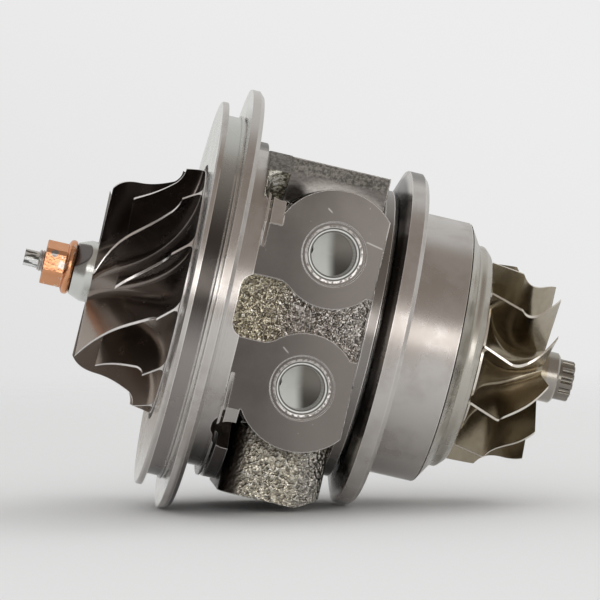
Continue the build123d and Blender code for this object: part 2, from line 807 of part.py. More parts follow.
# Shaft: stub, compressor end, journals, oil thrower and turbine hub
with BuildPart() as shaft:
    revolved(
        [
            (thread_start_x, 0),
            (thread_start_x, shaft_thread_radius - edge_break),
            (thread_start_x + edge_break, shaft_thread_radius),
            (wheel_nose_x, shaft_thread_radius),
            (wheel_nose_x, compressor_shaft_radius),
            (collar_x + collar_thickness, compressor_shaft_radius),
            (collar_x + collar_thickness, journal_radius),
            (rear_bearing_x + bearing_length + bearing_shoulder, journal_radius),
            (rear_bearing_x + bearing_length + bearing_shoulder + shaft_taper, thrower_root_radius),
            (thrower_x, thrower_root_radius),
            (thrower_x, oil_thrower_radius),
            (thrower_x + thrower_width, oil_thrower_radius),
            (thrower_x + thrower_width, turbine_hub_radius),
            (turbine_ring_positions[0], turbine_hub_radius),
            (turbine_ring_positions[0], turbine_groove_radius),
            (turbine_ring_positions[0] + seal_ring_groove_width, turbine_groove_radius),
            (turbine_ring_positions[0] + seal_ring_groove_width, turbine_hub_radius),
            (turbine_ring_positions[1], turbine_hub_radius),
            (turbine_ring_positions[1], turbine_groove_radius),
            (turbine_ring_positions[1] + seal_ring_groove_width, turbine_groove_radius),
            (turbine_ring_positions[1] + seal_ring_groove_width, turbine_hub_radius),
            (shaft_joint_x, turbine_hub_radius),
            (shaft_joint_x, 0),
        ]
    )
    # Small hexagon at the end of the stub, which holds the shaft still
    with BuildSketch(Plane.YZ.offset(shaft_end_x)):
        RegularPolygon(stub_across_flats / 2, 6, major_radius=False)
    extrude(amount=stub_length)
shaft.part.label = "shaft"

# Thrust collar behind the thrust bearing
with BuildPart() as thrust_collar:
    ring(thrust_plate_x - journal_clearance, collar_x, compressor_shaft_radius, collar_sleeve_radius)
    ring(collar_x, collar_x + collar_thickness, compressor_shaft_radius, collar_radius)
thrust_collar.part.label = "thrust_collar"

# Oil flinger sleeve, which carries the compressor seal ring
with BuildPart() as oil_flinger:
    flinger_radius = insert_seal_bore_radius - seal_clearance
    flinger_end_x = thrust_plate_x - journal_clearance
    flinger_flange_x = insert_back_x + 2 * seat_gap
    revolved(
        [
            (wheel_back_x, compressor_shaft_radius),
            (wheel_back_x, flinger_radius),
            (flinger_groove_x, flinger_radius),
            (flinger_groove_x, flinger_radius - seal_ring_groove_depth),
            (flinger_groove_x + seal_ring_groove_width, flinger_radius - seal_ring_groove_depth),
            (flinger_groove_x + seal_ring_groove_width, flinger_radius),
            (flinger_flange_x, flinger_radius),
            (flinger_flange_x, collar_radius),
            (flinger_end_x, collar_radius),
            (flinger_end_x, compressor_shaft_radius),
        ]
    )
oil_flinger.part.label = "oil_flinger"

# Compressor wheel: blade strips are lofted long and trimmed to the channel
with BuildPart() as compressor_channel:
    with BuildSketch(Plane.XY):
        with BuildLine():
            Polyline(
                (exducer_corner_x, blade_radius),
                (wheel_disc_x + blade_embed / 2, blade_radius),
                (wheel_disc_x + blade_embed / 2, wheel_radius - blade_embed),
            )
            EllipticalCenterArc(
                (inducer_x, wheel_radius - blade_embed),
                wheel_disc_x + blade_embed / 2 - inducer_x,
                wheel_radius - wheel_nose_radius,
                start_angle=270,
                arc_size=90,
            )
            Polyline(
                (inducer_x, wheel_nose_radius - blade_embed),
                (inducer_x, inducer_radius),
                (shroud_turn_start_x, inducer_radius),
            )
            EllipticalCenterArc(
                (shroud_turn_start_x, blade_radius),
                exducer_corner_x - shroud_turn_start_x,
                blade_radius - inducer_radius,
                start_angle=270,
                arc_size=90,
            )
        make_face()
    revolve(axis=Axis.X)

with BuildPart() as full_blade:
    blade(
        spaced(inducer_x - 0.5, wheel_disc_x + 1.0, compressor_blade_stations),
        compressor_turn,
        wheel_nose_radius - 3.0,
        wheel_radius + 2.0,
        blade_root_thickness,
        blade_tip_thickness,
        first_compressor_blade,
    )
    add(compressor_channel.part, mode=Mode.INTERSECT)

with BuildPart() as splitter_blade:
    add(full_blade.part)
    with BuildSketch(Plane.XY):
        with BuildLine():
            Polyline(
                (inducer_x - 1.0, 0),
                (splitter_start_x + splitter_rake, 0),
                (splitter_start_x, inducer_radius + 1.0),
                (splitter_start_x, wheel_radius + 4.0),
                (inducer_x - 1.0, wheel_radius + 4.0),
                close=True,
            )
        make_face()
    revolve(axis=Axis.X, mode=Mode.SUBTRACT)

with BuildPart() as compressor_wheel:
    with BuildSketch(Plane.XY):
        with BuildLine():
            Polyline(
                (inducer_x, wheel_nose_radius),
                (wheel_nose_x + wheel_nose_cone, wheel_nose_radius),
                (wheel_nose_x, wheel_nose_end_radius),
                (wheel_nose_x, compressor_shaft_radius),
                (wheel_back_x, compressor_shaft_radius),
                (wheel_back_x, wheel_back_boss_radius),
                (wheel_disc_back_x, wheel_back_boss_radius + 2.5),
                (wheel_disc_back_x, wheel_radius),
                (wheel_disc_x, wheel_radius),
            )
            EllipticalCenterArc(
                (inducer_x, wheel_radius),
                wheel_disc_x - inducer_x,
                wheel_radius - wheel_nose_radius,
                start_angle=270,
                arc_size=90,
            )
        make_face()
    revolve(axis=Axis.X)
    pitch = 360 / full_blade_count
    add([full_blade.part.rotate(Axis.X, pitch * k) for k in range(full_blade_count)])
    add([splitter_blade.part.rotate(Axis.X, pitch * (k + 0.5)) for k in range(full_blade_count)])
    # Balance flat ground on the edge of the nose
    cut_turn = math.radians(balance_cut_angle)
    cut_plane = Plane(
        origin=(wheel_nose_x, 0, 0),
        x_dir=(1, 0, 0),
        z_dir=(0, -math.cos(cut_turn), math.sin(cut_turn)),
    )
    with Locations(cut_plane.location * Pos(0, 0, balance_cut_height) * Rot(0, -balance_cut_tilt, 0)):
        Box(
            3 * wheel_nose_cone,
            4 * wheel_nose_radius,
            wheel_nose_radius,
            align=(Align.CENTER, Align.CENTER, Align.MIN),
            mode=Mode.SUBTRACT,
        )
compressor_wheel.part.label = "compressor_wheel"

# Turbine wheel, made the same way, with its drive end
with BuildPart() as turbine_channel:
    with BuildSketch(Plane.XY):
        with BuildLine():
            Polyline(
                (turbine_throat_x, turbine_throat_radius),
                (turbine_exit_x, turbine_exit_radius),
                (turbine_exit_x, turbine_nose_radius - blade_embed),
            )
            EllipticalCenterArc(
                (turbine_exit_x, turbine_back_radius),
                turbine_exit_x - turbine_inlet_x,
                turbine_back_radius - turbine_nose_radius + blade_embed,
                start_angle=180,
                arc_size=90,
            )
            Polyline(
                (turbine_inlet_x, turbine_back_radius),
                (turbine_inlet_x, turbine_tip_radius),
                (turbine_corner_x, turbine_tip_radius),
            )
            Bezier(
                (turbine_corner_x, turbine_tip_radius),
                (turbine_knee_x, turbine_throat_radius),
                (turbine_throat_x, turbine_throat_radius),
            )
        make_face()
    revolve(axis=Axis.X)

with BuildPart() as turbine_blade:
    blade(
        spaced(turbine_inlet_x - 0.4, turbine_exit_x + 0.3, turbine_blade_stations),
        turbine_turn,
        turbine_nose_radius - 3.0,
        turbine_tip_radius + 1.5,
        turbine_root_thickness,
        turbine_tip_thickness,
        first_turbine_blade,
    )
    add(turbine_channel.part, mode=Mode.INTERSECT)

with BuildPart() as turbine_wheel:
    with BuildSketch(Plane.XY):
        with BuildLine():
            Polyline(
                (turbine_exit_x + hub_run, turbine_nose_radius),
                (turbine_nose_end_x - 0.6, turbine_nose_radius),
                (turbine_nose_end_x, turbine_nose_radius - 0.6),
                (turbine_nose_end_x, 0),
                (shaft_joint_x, 0),
                (shaft_joint_x, turbine_hub_radius),
                (turbine_inlet_x, turbine_hub_radius + 1.0),
                (turbine_inlet_x, turbine_back_radius),
                (turbine_inlet_x + turbine_disc_thickness, turbine_back_radius),
            )
            EllipticalCenterArc(
                (turbine_exit_x + hub_run, turbine_back_radius),
                turbine_exit_x + hub_run - turbine_inlet_x - turbine_disc_thickness,
                turbine_back_radius - turbine_nose_radius,
                start_angle=180,
                arc_size=90,
            )
        make_face()
    revolve(axis=Axis.X)
    turbine_pitch = 360 / turbine_blade_count
    add([turbine_blade.part.rotate(Axis.X, turbine_pitch * k) for k in range(turbine_blade_count)])
    # Twelve-point drive for holding the rotor
    ring(turbine_nose_end_x, turbine_nose_end_x + drive_length, 0, drive_radius)
    with BuildSketch(Plane.YZ.offset(turbine_nose_end_x + drive_shoulder)):
        with PolarLocations(drive_radius, drive_points):
            Circle(drive_notch_radius)
    extrude(amount=drive_length, mode=Mode.SUBTRACT)
turbine_wheel.part.label = "turbine_wheel"

# Lock nut at the compressor end
with BuildPart() as lock_nut:
    nut_corner = nut_across_flats / math.sqrt(3)
    with BuildSketch(Plane.YZ.offset(nut_end_x)):
        RegularPolygon(nut_corner, 6)
    extrude(amount=nut_hex_length)
    with BuildSketch(Plane.XY):
        with BuildLine():
            Polyline(
                (nut_end_x, 0),
                (nut_end_x, nut_across_flats / 2 - 0.3),
                (nut_end_x + nut_chamfer, nut_corner),
                (nut_flange_x, nut_corner),
                (nut_flange_x, 0),
                close=True,
            )
        make_face()
    revolve(axis=Axis.X, mode=Mode.INTERSECT)
    with BuildSketch(Plane.XY):
        with BuildLine():
            Polyline(
                (nut_flange_x - nut_flange_cone, 0),
                (nut_flange_x - nut_flange_cone, nut_across_flats / 2 - 0.5),
                (nut_flange_x, nut_flange_radius),
                (wheel_nose_x - nut_flange_edge, nut_flange_radius),
                (wheel_nose_x, nut_flange_radius - nut_flange_edge),
                (wheel_nose_x, 0),
                close=True,
            )
        make_face()
    revolve(axis=Axis.X)
    ring(nut_end_x, wheel_nose_x, 0, shaft_thread_radius + nut_bore_gap, Mode.SUBTRACT)
lock_nut.part.label = "lock_nut"

pieces = [
    bearing_housing.part,
    seal_plate.part,
    seal_plate_o_ring.part,
    retaining_ring.part,
    oil_deflector.part,
    thrust_bearing.part,
    thrust_screws.part,
    *journal_bearings,
    *snap_rings,
    compressor_seal_ring.part,
    *turbine_seal_rings,
    heat_shield.part,
    shaft.part,
    thrust_collar.part,
    oil_flinger.part,
    compressor_wheel.part,
    turbine_wheel.part,
    lock_nut.part,
]
os.makedirs("parts", exist_ok=True)
for piece in pieces:
    export_step(piece, f"parts/{piece.label}.step")
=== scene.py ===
import json
import math

import bmesh
import bpy
import numpy as np
from mathutils import Matrix, Vector


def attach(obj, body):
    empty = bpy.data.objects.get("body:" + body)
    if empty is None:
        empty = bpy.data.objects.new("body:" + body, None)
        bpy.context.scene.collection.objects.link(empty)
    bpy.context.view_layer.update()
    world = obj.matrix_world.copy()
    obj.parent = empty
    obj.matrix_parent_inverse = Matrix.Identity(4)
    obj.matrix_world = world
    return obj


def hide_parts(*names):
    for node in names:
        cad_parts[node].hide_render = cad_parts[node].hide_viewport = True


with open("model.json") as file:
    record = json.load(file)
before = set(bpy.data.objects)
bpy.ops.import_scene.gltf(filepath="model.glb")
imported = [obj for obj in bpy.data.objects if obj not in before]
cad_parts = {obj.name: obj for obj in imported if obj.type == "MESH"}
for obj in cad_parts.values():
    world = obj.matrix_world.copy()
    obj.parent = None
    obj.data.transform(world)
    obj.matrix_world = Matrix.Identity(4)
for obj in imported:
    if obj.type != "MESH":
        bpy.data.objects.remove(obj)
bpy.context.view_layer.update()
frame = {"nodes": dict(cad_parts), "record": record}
mm = 0.001
print("frame loaded:", len(frame["nodes"]), "nodes")


class Value:
    # One socket of a node tree. A sign between two values adds a Math node.
    def __init__(self, tree, socket=None):
        self.tree = tree
        self.socket = socket

    def node(self, kind, settings, sockets, output=0):
        # Adds any node: its settings first, then the values or links of its sockets.
        made = self.tree.nodes.new(kind)
        for name, setting in settings.items():
            setattr(made, name, setting)
        for name, value in sockets.items():
            if isinstance(value, Value):
                self.tree.links.new(value.socket, made.inputs[name])
            else:
                made.inputs[name].default_value = value
        return Value(self.tree, made.outputs[output] if len(made.outputs) else None)

    def maths(self, operation, *terms):
        return self.node("ShaderNodeMath", {"operation": operation}, dict(enumerate(terms)))

    def __add__(self, other):
        return self.maths("ADD", self, other)

    def __sub__(self, other):
        return self.maths("SUBTRACT", self, other)

    def __mul__(self, other):
        return self.maths("MULTIPLY", self, other)

    def __truediv__(self, other):
        return self.maths("DIVIDE", self, other)

    def __pow__(self, other):
        return self.maths("POWER", self, other)

    def __radd__(self, other):
        return self.maths("ADD", other, self)

    def __rsub__(self, other):
        return self.maths("SUBTRACT", other, self)

    def __rmul__(self, other):
        return self.maths("MULTIPLY", other, self)

    def __rtruediv__(self, other):
        return self.maths("DIVIDE", other, self)


def vectorMaths(operation, first, second=(0, 0, 0), output="Vector"):
    return first.node("ShaderNodeVectorMath", {"operation": operation}, {0: first, 1: second}, output)


def scaled(vector, factor):
    return vector.node("ShaderNodeVectorMath", {"operation": "SCALE"}, {0: vector, "Scale": factor})


def rise(value, low, high):
    # 0 below low, 1 above high, smooth between them.
    return value.node("ShaderNodeMapRange", {"interpolation_type": "SMOOTHSTEP"},
                      {"Value": value, "From Min": low, "From Max": high})


def fall(value, low, high):
    # 1 below low, 0 above high, smooth between them.
    return 1 - rise(value, low, high)


def above(value, place, edge=0.1):
    # 0 below place, 1 from place + edge on.
    return rise(value, place, place + edge)


def below(value, place, edge=0.1):
    # 1 below place, 0 from place + edge on.
    return fall(value, place, place + edge)


def between(value, low, high):
    # 1 from low to high and 0 outside.
    return above(value, low) * below(value, high)


def least(one, two):
    return one.maths("MINIMUM", one, two)


def most(one, two):
    return one.maths("MAXIMUM", one, two)


def magnitude(value):
    return value.maths("ABSOLUTE", value)


def noise(point, scale, detail=2.0, roughness=0.5):
    sockets = {"Vector": point, "Scale": scale, "Detail": detail, "Roughness": roughness}
    return point.node("ShaderNodeTexNoise", {}, sockets, "Fac")


def mixColours(mask, low, high):
    # Sockets 6 and 7 of a Mix node are its two colours.
    return mask.node("ShaderNodeMix", {"data_type": "RGBA"}, {0: mask, 6: low, 7: high}, 2)


def mixVectors(mask, low, high):
    # Sockets 4 and 5 of a Mix node are its two vectors.
    return mask.node("ShaderNodeMix", {"data_type": "VECTOR"}, {0: mask, 4: low, 5: high}, 1)


def colour(red, green, blue):
    return (red, green, blue, 1.0)


class Finish:
    # A material under way: point is the object's own place in millimetres, facing its normal.
    def __init__(self, name):
        self.material = bpy.data.materials.new(name)
        self.material.use_nodes = True
        self.material.node_tree.nodes.clear()
        self.start = Value(self.material.node_tree)
        self.point = scaled(self.start.node("ShaderNodeTexCoord", {}, {}, "Object"), 1 / mm)
        self.x, self.y, self.z = self.split(self.point)
        self.radius = (self.y * self.y + self.z * self.z) ** 0.5
        self.facing = self.start.node("ShaderNodeTexCoord", {}, {}, "Normal")
        self.facingX, self.facingY, self.facingZ = self.split(self.facing)

    def split(self, vector):
        parts = vector.node("ShaderNodeSeparateXYZ", {}, {0: vector}).socket.node
        return [Value(vector.tree, parts.outputs[i]) for i in range(3)]

    def combine(self, x, y, z):
        return self.start.node("ShaderNodeCombineXYZ", {}, {0: x, 1: y, 2: z})

    def awayFrom(self, x, z):
        # Distance from the line through x and z that runs along y.
        return ((self.x - x) * (self.x - x) + (self.z - z) * (self.z - z)) ** 0.5

    def outward(self):
        # How much the surface faces away from the shaft axis, -1 to 1.
        return (self.facingY * self.y + self.facingZ * self.z) / self.radius

    def tracks(self, pitch):
        # Noise of x and radius alone runs round the shaft as lathe marks do.
        return noise(self.combine(self.x / pitch, self.radius / pitch, 0.0), 1.0, 3.0, 0.7)

    def turned(self, amount, pitch):
        # Lathe marks: the normal of the turned surface, free of the mesh's flats,
        # leans along the meridian by noise that changes only with x and radius.
        outward = self.outward()
        smooth = self.combine(self.facingX, outward * self.y / self.radius, outward * self.z / self.radius)
        smooth = vectorMaths("NORMALIZE", smooth)
        around = self.combine(0.0, self.z * -1 / self.radius, self.y / self.radius)
        meridian = vectorMaths("CROSS_PRODUCT", around, smooth)
        lean = (self.tracks(pitch) - 0.5) * amount
        tilted = vectorMaths("NORMALIZE", vectorMaths("ADD", smooth, scaled(meridian, lean)))
        turning = {"vector_type": "NORMAL", "convert_from": "OBJECT", "convert_to": "WORLD"}
        return self.start.node("ShaderNodeVectorTransform", turning, {0: tilted})

    def blur(self, edge):
        # The normal rounded over sharp edges.
        return self.start.node("ShaderNodeBevel", {"samples": 4}, {"Radius": edge * mm})

    def wearAndSheen(self, width):
        # 1 on sharp edges, where the rounded normal leaves the true one. The housing paints a highlight
        # there.
        true = self.start.node("ShaderNodeNewGeometry", {}, {}, "Normal")
        return rise(1 - vectorMaths("DOT_PRODUCT", self.blur(width), true, "Value"), 0.03, 0.16)

    def bump(self, height, depth, normal):
        # height runs over about 0 to 1 and stands for depth millimetres.
        sockets = {"Strength": 1.0, "Distance": depth * mm, "Height": height, "Normal": normal}
        return self.start.node("ShaderNodeBump", {}, sockets)

    def finish(self, fixed, **changing):
        sockets = {name.replace("_", " "): value for name, value in changing.items()}
        shader = self.start.node("ShaderNodeBsdfPrincipled", {}, {**fixed, **sockets}, "BSDF")
        self.start.node("ShaderNodeOutputMaterial", {}, {"Surface": shader})
        return self.material


castHousing = {
    # Milled planes, and how far they reach along x or from the shaft axis.
    "padPlane": -40.0, "padStart": 5.4, "padEnd": 41.5,
    "topPlane": 43.0, "topReach": 47.5,
    "bottomPlane": -49.7, "bottomStart": 14.0, "bottomReach": 53.0,
    # Turned: all left of farRing and right of rearRing, and left of frontRing outside turnedRadius.
    "farRing": 5.3, "frontRing": 13.9, "rearRing": 41.55, "turnedRadius": 42.5,
    "webStart": 7.55, "webEnd": 20.0, "webWidth": 34.0, "webHeight": 29.0,   # cast web across the rings
    "turnedColour": colour(0.60, 0.57, 0.545), "stainColour": colour(0.48, 0.44, 0.41),
    # Faces that look left get a near-white painted reflection.
    "frontColour": colour(0.93, 0.93, 0.91), "bareAndSheenColour": colour(0.92, 0.89, 0.86),
    # The second colour above is bare metal in scratches and nicks, and a painted highlight on sharp edges.
    "lathePitch": 0.12, "latheLean": 0.8, "edgeRound": 0.35, "sheenEdgeWidth": 0.55,
    # The groove between the two front flanges, painted dark as shade, and paler at its top and below the
    # shaft as painted reflection.
    "grooveStart": -5.5, "grooveEnd": -0.6, "grooveRadius": 52.0,
    "grooveTopPart": (15.0, 45.0), "grooveLowPart": (-16.0, 0.0), "grooveFoot": (-52.0, -44.0),
    "grooveShade": colour(0.09, 0.08, 0.073), "grooveTop": colour(0.62, 0.62, 0.59),
    "grooveLow": colour(0.34, 0.31, 0.295),
    # The end ring, the groove behind it painted dark as shade, and the hub painted darker at the bottom as
    # shade.
    "endRingStart": 41.5, "endRingEnd": 44.3, "endRingColour": colour(0.26, 0.24, 0.225),
    "bandStart": 44.35, "bandEnd": 47.4, "bandRadius": 44.0, "bandShade": colour(0.07, 0.062, 0.056),
    "blockStart": 10.0, "blockPart": (-33.0, -31.0), "blockShade": colour(0.16, 0.14, 0.13),
    "hubStart": (1.0, 2.0), "hubEnd": 13.8, "hubLowPart": (-48.0, -28.0), "hubLowShare": 0.8,
    # The two ports: x and z of each, and what is drawn in and round them.
    "ports": ((28.9, 19.3), (28.6, -17.2)),
    "portRadius": 7.12, "portDepth": -26.0, "coneStart": -30.6,
    "scoredRadius": 7.8, "spotRadius": 8.65, "spotDepth": -38.3,
    "portLines": (6.1, 6.9), "lineColour": colour(0.16, 0.145, 0.135),
    # Each port's cone is painted lit on one side, in shade on the other, and darker low down.
    "portLitColour": colour(0.98, 0.99, 0.95), "portShade": colour(0.36, 0.33, 0.30),
    "portLowShade": colour(0.10, 0.09, 0.08),
    "dryness": 0.75,   # share of the metal look that the ports and the pocket lack
    # The pads, darker on the left, and their scratches from x and z to x and z.
    "padColour": colour(0.078, 0.070, 0.064), "padStreakColour": colour(0.135, 0.122, 0.112),
    "padRight": colour(0.19, 0.173, 0.16), "padRightPart": (18.0, 43.0), "padReach": 17.2,
    "scratches": (((36.5, 24.4), (41.6, 23.4)), ((24.5, 31.0), (26.3, 29.8)),
                  ((21.1, -7.5), (23.2, -9.1)), ((15.5, -3.6), (16.8, -5.2))),
    "scratchWidth": (0.05, 0.3), "scratchShare": 0.3, "nickShare": 0.6,
    # Cast skin: grey, gold on the left and low down, with painted shade in its crevices and painted glints.
    "grain": 0.95, "fineGrain": 2.2, "grainDepth": 1.9,
    "roughness": 0.30, "stainDullness": 0.08, "grainShine": 0.06, "turnedShine": 0.08,
    # Where each tone turns from dark to light as sparkle rises.
    "castGrains": (0.36, 0.62), "bossGrains": (0.38, 0.58), "glints": (0.57, 0.63),
    "speckles": (0.36, 0.64), "pocketGrains": (0.44, 0.62), "pocketGlints": (0.46, 0.56),
    "castColour": colour(0.82, 0.765, 0.73), "castGold": colour(0.88, 0.81, 0.62),
    "creviceShade": colour(0.29, 0.26, 0.225), "glintColour": colour(1.0, 0.98, 0.92),
    "goldSide": (16.0, 23.0), "goldTop": (30.0, 34.0), "paleSide": (32.0, 36.0), "paleShare": 0.3,
    # The drain boss, painted darker under the pad and on the right as shade, and the smooth hollow beside
    # it, painted dark as shade.
    "lowPart": (-33.0, -29.0), "bossPart": (15.0, 20.0), "bossRightPart": (32.5, 36.5),
    "bossColour": colour(1.0, 0.94, 0.79), "bossShade": colour(0.42, 0.38, 0.305),
    "bossEdge": colour(0.20, 0.18, 0.165), "bossEdgeShare": 0.65, "bossSmooth": 0.2, "hollowSmooth": 0.85,
    "hollowTop": (-24.0, -20.0), "hollowSide": (17.0, 22.0), "hollowFrontPart": (13.75, 13.95),
    "hollowShade": colour(0.075, 0.064, 0.055), "hollowFrontColour": colour(0.25, 0.22, 0.20),
    # The smooth wall above the upper pad, painted darker towards the lip at the top as shade, with a
    # painted highlight along the pad for a fillet that is not modelled.
    "wallPart": (22.0, 27.0), "wallSide": (-8.0, -4.0), "wallColour": colour(0.215, 0.20, 0.188),
    "underLipPart": (31.0, 37.5), "underLip": colour(0.125, 0.114, 0.106), "lipHeight": 39.4,
    "lipColour": colour(0.165, 0.155, 0.14), "lipShade": colour(0.065, 0.06, 0.055),
    "filletHighlight": colour(0.36, 0.34, 0.32), "filletWidth": 4.0, "filletShare": 0.8,
    "wallSmooth": 0.97, "cornerSide": (14.2, 14.8), "cornerTop": (33.0, 35.0),
    # The web's face, and the pocket at the wall's left end, a slot at an angle above the pad.
    "webFacePart": (13.6, 13.7),
    "webColour": colour(0.26, 0.245, 0.225), "webShade": colour(0.12, 0.11, 0.10),
    "pocketAngle": 45.5, "pocketHalfWidth": 5.6, "pocketEnd": (13.5, 13.8),
    # A pool of painted light at the pocket's top left, with painted glints, and painted shade elsewhere in
    # the pocket.
    "pocketGlow": (9.9, 35.4), "pocketRough": 0.4,
    "pocketLow": colour(0.10, 0.088, 0.065), "pocketHigh": colour(0.50, 0.46, 0.36),
    "shadePlace": (16.8, 32.6), "shadeColour": colour(0.02, 0.018, 0.016),
}


def portMasks(f):
    # Masks of the bores, of the part of their cones painted in shade and the low part painted darker as
    # shade, of the dark lines in them, and of the spot faces and scored rings round them.
    c = castHousing
    bores = shaded = low = lines = spots = scored = 0.0
    inSpot = below(f.y, c["spotDepth"])
    for x, z in c["ports"]:
        away = f.awayFrom(x, z)
        bore = below(away, c["portRadius"], 0.05) * below(f.y, c["portDepth"], 1.0)
        cone = bore * above(f.y, c["coneStart"])
        middle = x + 0.2 * z
        shaded = cone * rise(f.x + f.z * 0.2, middle - 1.4, middle + 1.8) + shaded
        low = cone * fall(f.z, z - 4.0, z + 4.0) + low
        for radius in c["portLines"]:
            lines = bore * between(away, radius - 0.25, radius + 0.15) + lines
        spots = below(away, c["spotRadius"], 0.05) * inSpot + spots
        bright = 0.35 + 0.65 * rise(f.x - f.z, x - z - 4.0, x - z + 8.0)   # more to the lower right
        scored = between(away, c["portRadius"], c["scoredRadius"] - 0.1) * inSpot * bright + scored
        bores = bore + bores
    return bores, shaded, low, lines, spots, scored


def milledMask(f, spots):
    # What lies near the plane of the pads, the top or the bottom, with the spot faces.
    c = castHousing
    pad, top, bottom = c["padPlane"], c["topPlane"], c["bottomPlane"]
    onPad = rise(f.y, pad - 0.3, pad - 0.2) * fall(f.y, pad + 0.1, pad + 0.3)
    onPad = onPad * rise(f.facingY * -1, 0.9, 0.98) * between(f.x, c["padStart"], c["padEnd"])
    onTop = rise(f.z, top - 0.25, top - 0.1) * rise(f.facingZ, 0.9, 0.98)
    onTop = onTop * below(f.radius, c["topReach"], 0.4)
    onBottom = fall(f.z, bottom + 0.1, bottom + 0.2) * above(f.x, c["bottomStart"])
    onBottom = onBottom * below(f.radius, c["bottomReach"], 1.0)
    return least(onPad + onTop + onBottom + spots, 1.0)


def turnedMask(f, milled):
    # What a lathe can cut, where facingX ^ 2 + outward ^ 2 is nearly 1, inside the turned places.
    c = castHousing
    revolved = rise(f.facingX * f.facingX + f.outward() * f.outward(), 0.87, 0.93)
    web = above(f.x, c["webStart"], 0.05) * below(f.x, c["webEnd"])
    web = web * above(f.z, c["webHeight"], 0.5) * below(magnitude(f.y), c["webWidth"])
    front = below(f.x, c["frontRing"]) * above(f.radius, c["turnedRadius"], 0.4)
    far = below(f.x, c["farRing"], 0.2)
    rear = above(f.x, c["rearRing"])
    return most(rear, most(front, far)) * revolved * (1 - web) * (1 - milled)


def turnedTones(f, stains):
    # Stained metal, the left faces' painted reflection, the groove's painted shade and reflections, the
    # hub's foot and band in painted shade, and the end ring.
    c = castHousing
    # Faces that look left are painted near white, a painted reflection.
    front = fall(f.facingX, -0.95, -0.8) * fall(f.x, 0.1, 0.2)   # faces left, up to the flange
    tone = mixColours(front, mixColours(stains, c["turnedColour"], c["stainColour"]), c["frontColour"])
    # The groove: painted shade, with painted reflections higher up and below the shaft.
    grooveTone = mixColours(rise(f.z, *c["grooveTopPart"]), c["grooveShade"], c["grooveTop"])
    grooveTone = mixColours(fall(f.z, *c["grooveLowPart"]), grooveTone, c["grooveLow"])
    grooveTone = mixColours(fall(f.z, *c["grooveFoot"]), grooveTone, c["grooveShade"])
    groove = between(f.x, c["grooveStart"], c["grooveEnd"]) * below(f.radius, c["grooveRadius"], 0.3)
    tone = mixColours(groove, tone, grooveTone)
    # The hub's lower part and the block under it are painted dark as shade.
    beforeEnd = below(f.x, c["hubEnd"])
    block = above(f.x, c["blockStart"]) * beforeEnd * fall(f.z, *c["blockPart"])
    hubLow = rise(f.x, *c["hubStart"]) * beforeEnd * fall(f.z, *c["hubLowPart"])
    tone = mixColours(block, tone, c["blockShade"])
    tone = mixColours(hubLow * c["hubLowShare"], tone, c["blockShade"])
    tone = mixColours(between(f.x, c["endRingStart"], c["endRingEnd"]), tone, c["endRingColour"])
    # The groove behind the end ring is painted near black as shade.
    band = between(f.x, c["bandStart"], c["bandEnd"]) * below(f.radius, c["bandRadius"], 2.0)
    return mixColours(band, tone, c["bandShade"])


def padTones(f, scored):
    # The pads are streaked and go paler to the right. Nicks, scored rings and scratches are bare metal.
    c = castHousing
    tone = mixColours(noise(f.point, 0.12, 5.0, 0.65), c["padColour"], c["padStreakColour"])
    tone = mixColours(rise(f.x + 8 * noise(f.point, 0.09, 3.0), *c["padRightPart"]), tone, c["padRight"])
    nicks = rise(noise(f.combine(f.x, f.y, f.z * 0.5), 0.8, 3.0, 0.6), 0.70, 0.75)
    bare = most(scored * rise(noise(f.point, 1.2, 2.0), 0.35, 0.6), nicks * c["nickShare"])
    for (startX, startZ), (endX, endZ) in c["scratches"]:
        length = math.hypot(endX - startX, endZ - startZ)
        alongX, alongZ = (endX - startX) / length, (endZ - startZ) / length
        along = (f.x - startX) * alongX + (f.z - startZ) * alongZ
        aside = (f.x - startX) * alongZ - (f.z - startZ) * alongX
        scratch = rise(along, 0.0, 0.4) * fall(along, length - 0.8, length)
        scratch = scratch * fall(magnitude(aside), *c["scratchWidth"])
        bare = most(bare, scratch * c["scratchShare"])
    return mixColours(bare, tone, c["bareAndSheenColour"])


def castMasks(f):
    # The places of the cast skin that look unlike the rest of it.
    c = castHousing
    low = fall(f.z, *c["lowPart"])
    side = fall(f.y, *c["wallSide"])
    wall = rise(f.z, *c["wallPart"]) * side
    slant = math.radians(c["pocketAngle"])
    across = f.y * math.sin(slant) + f.z * math.cos(slant)
    pocket = below(magnitude(across), c["pocketHalfWidth"])
    pocket = pocket * fall(f.x, *c["pocketEnd"]) * rise(f.z, *c["wallPart"])
    pocket = pocket * fall(f.facingY * -1, 0.85, 0.95) * wall
    return {
        "boss": low * rise(f.x, *c["bossPart"]),
        "gold": most(low, fall(f.x, *c["goldSide"]) * fall(f.z, *c["goldTop"])),
        "wall": wall,
        "pocket": pocket,
        "webFace": fall(f.x, *c["webFacePart"]) * wall * (1 - pocket),
        "shade": fall(f.awayFrom(*c["shadePlace"]), 2.0, 5.0) * side,
        "hollow": fall(f.z, *c["hollowTop"]) * fall(f.x, *c["hollowSide"]),
    }


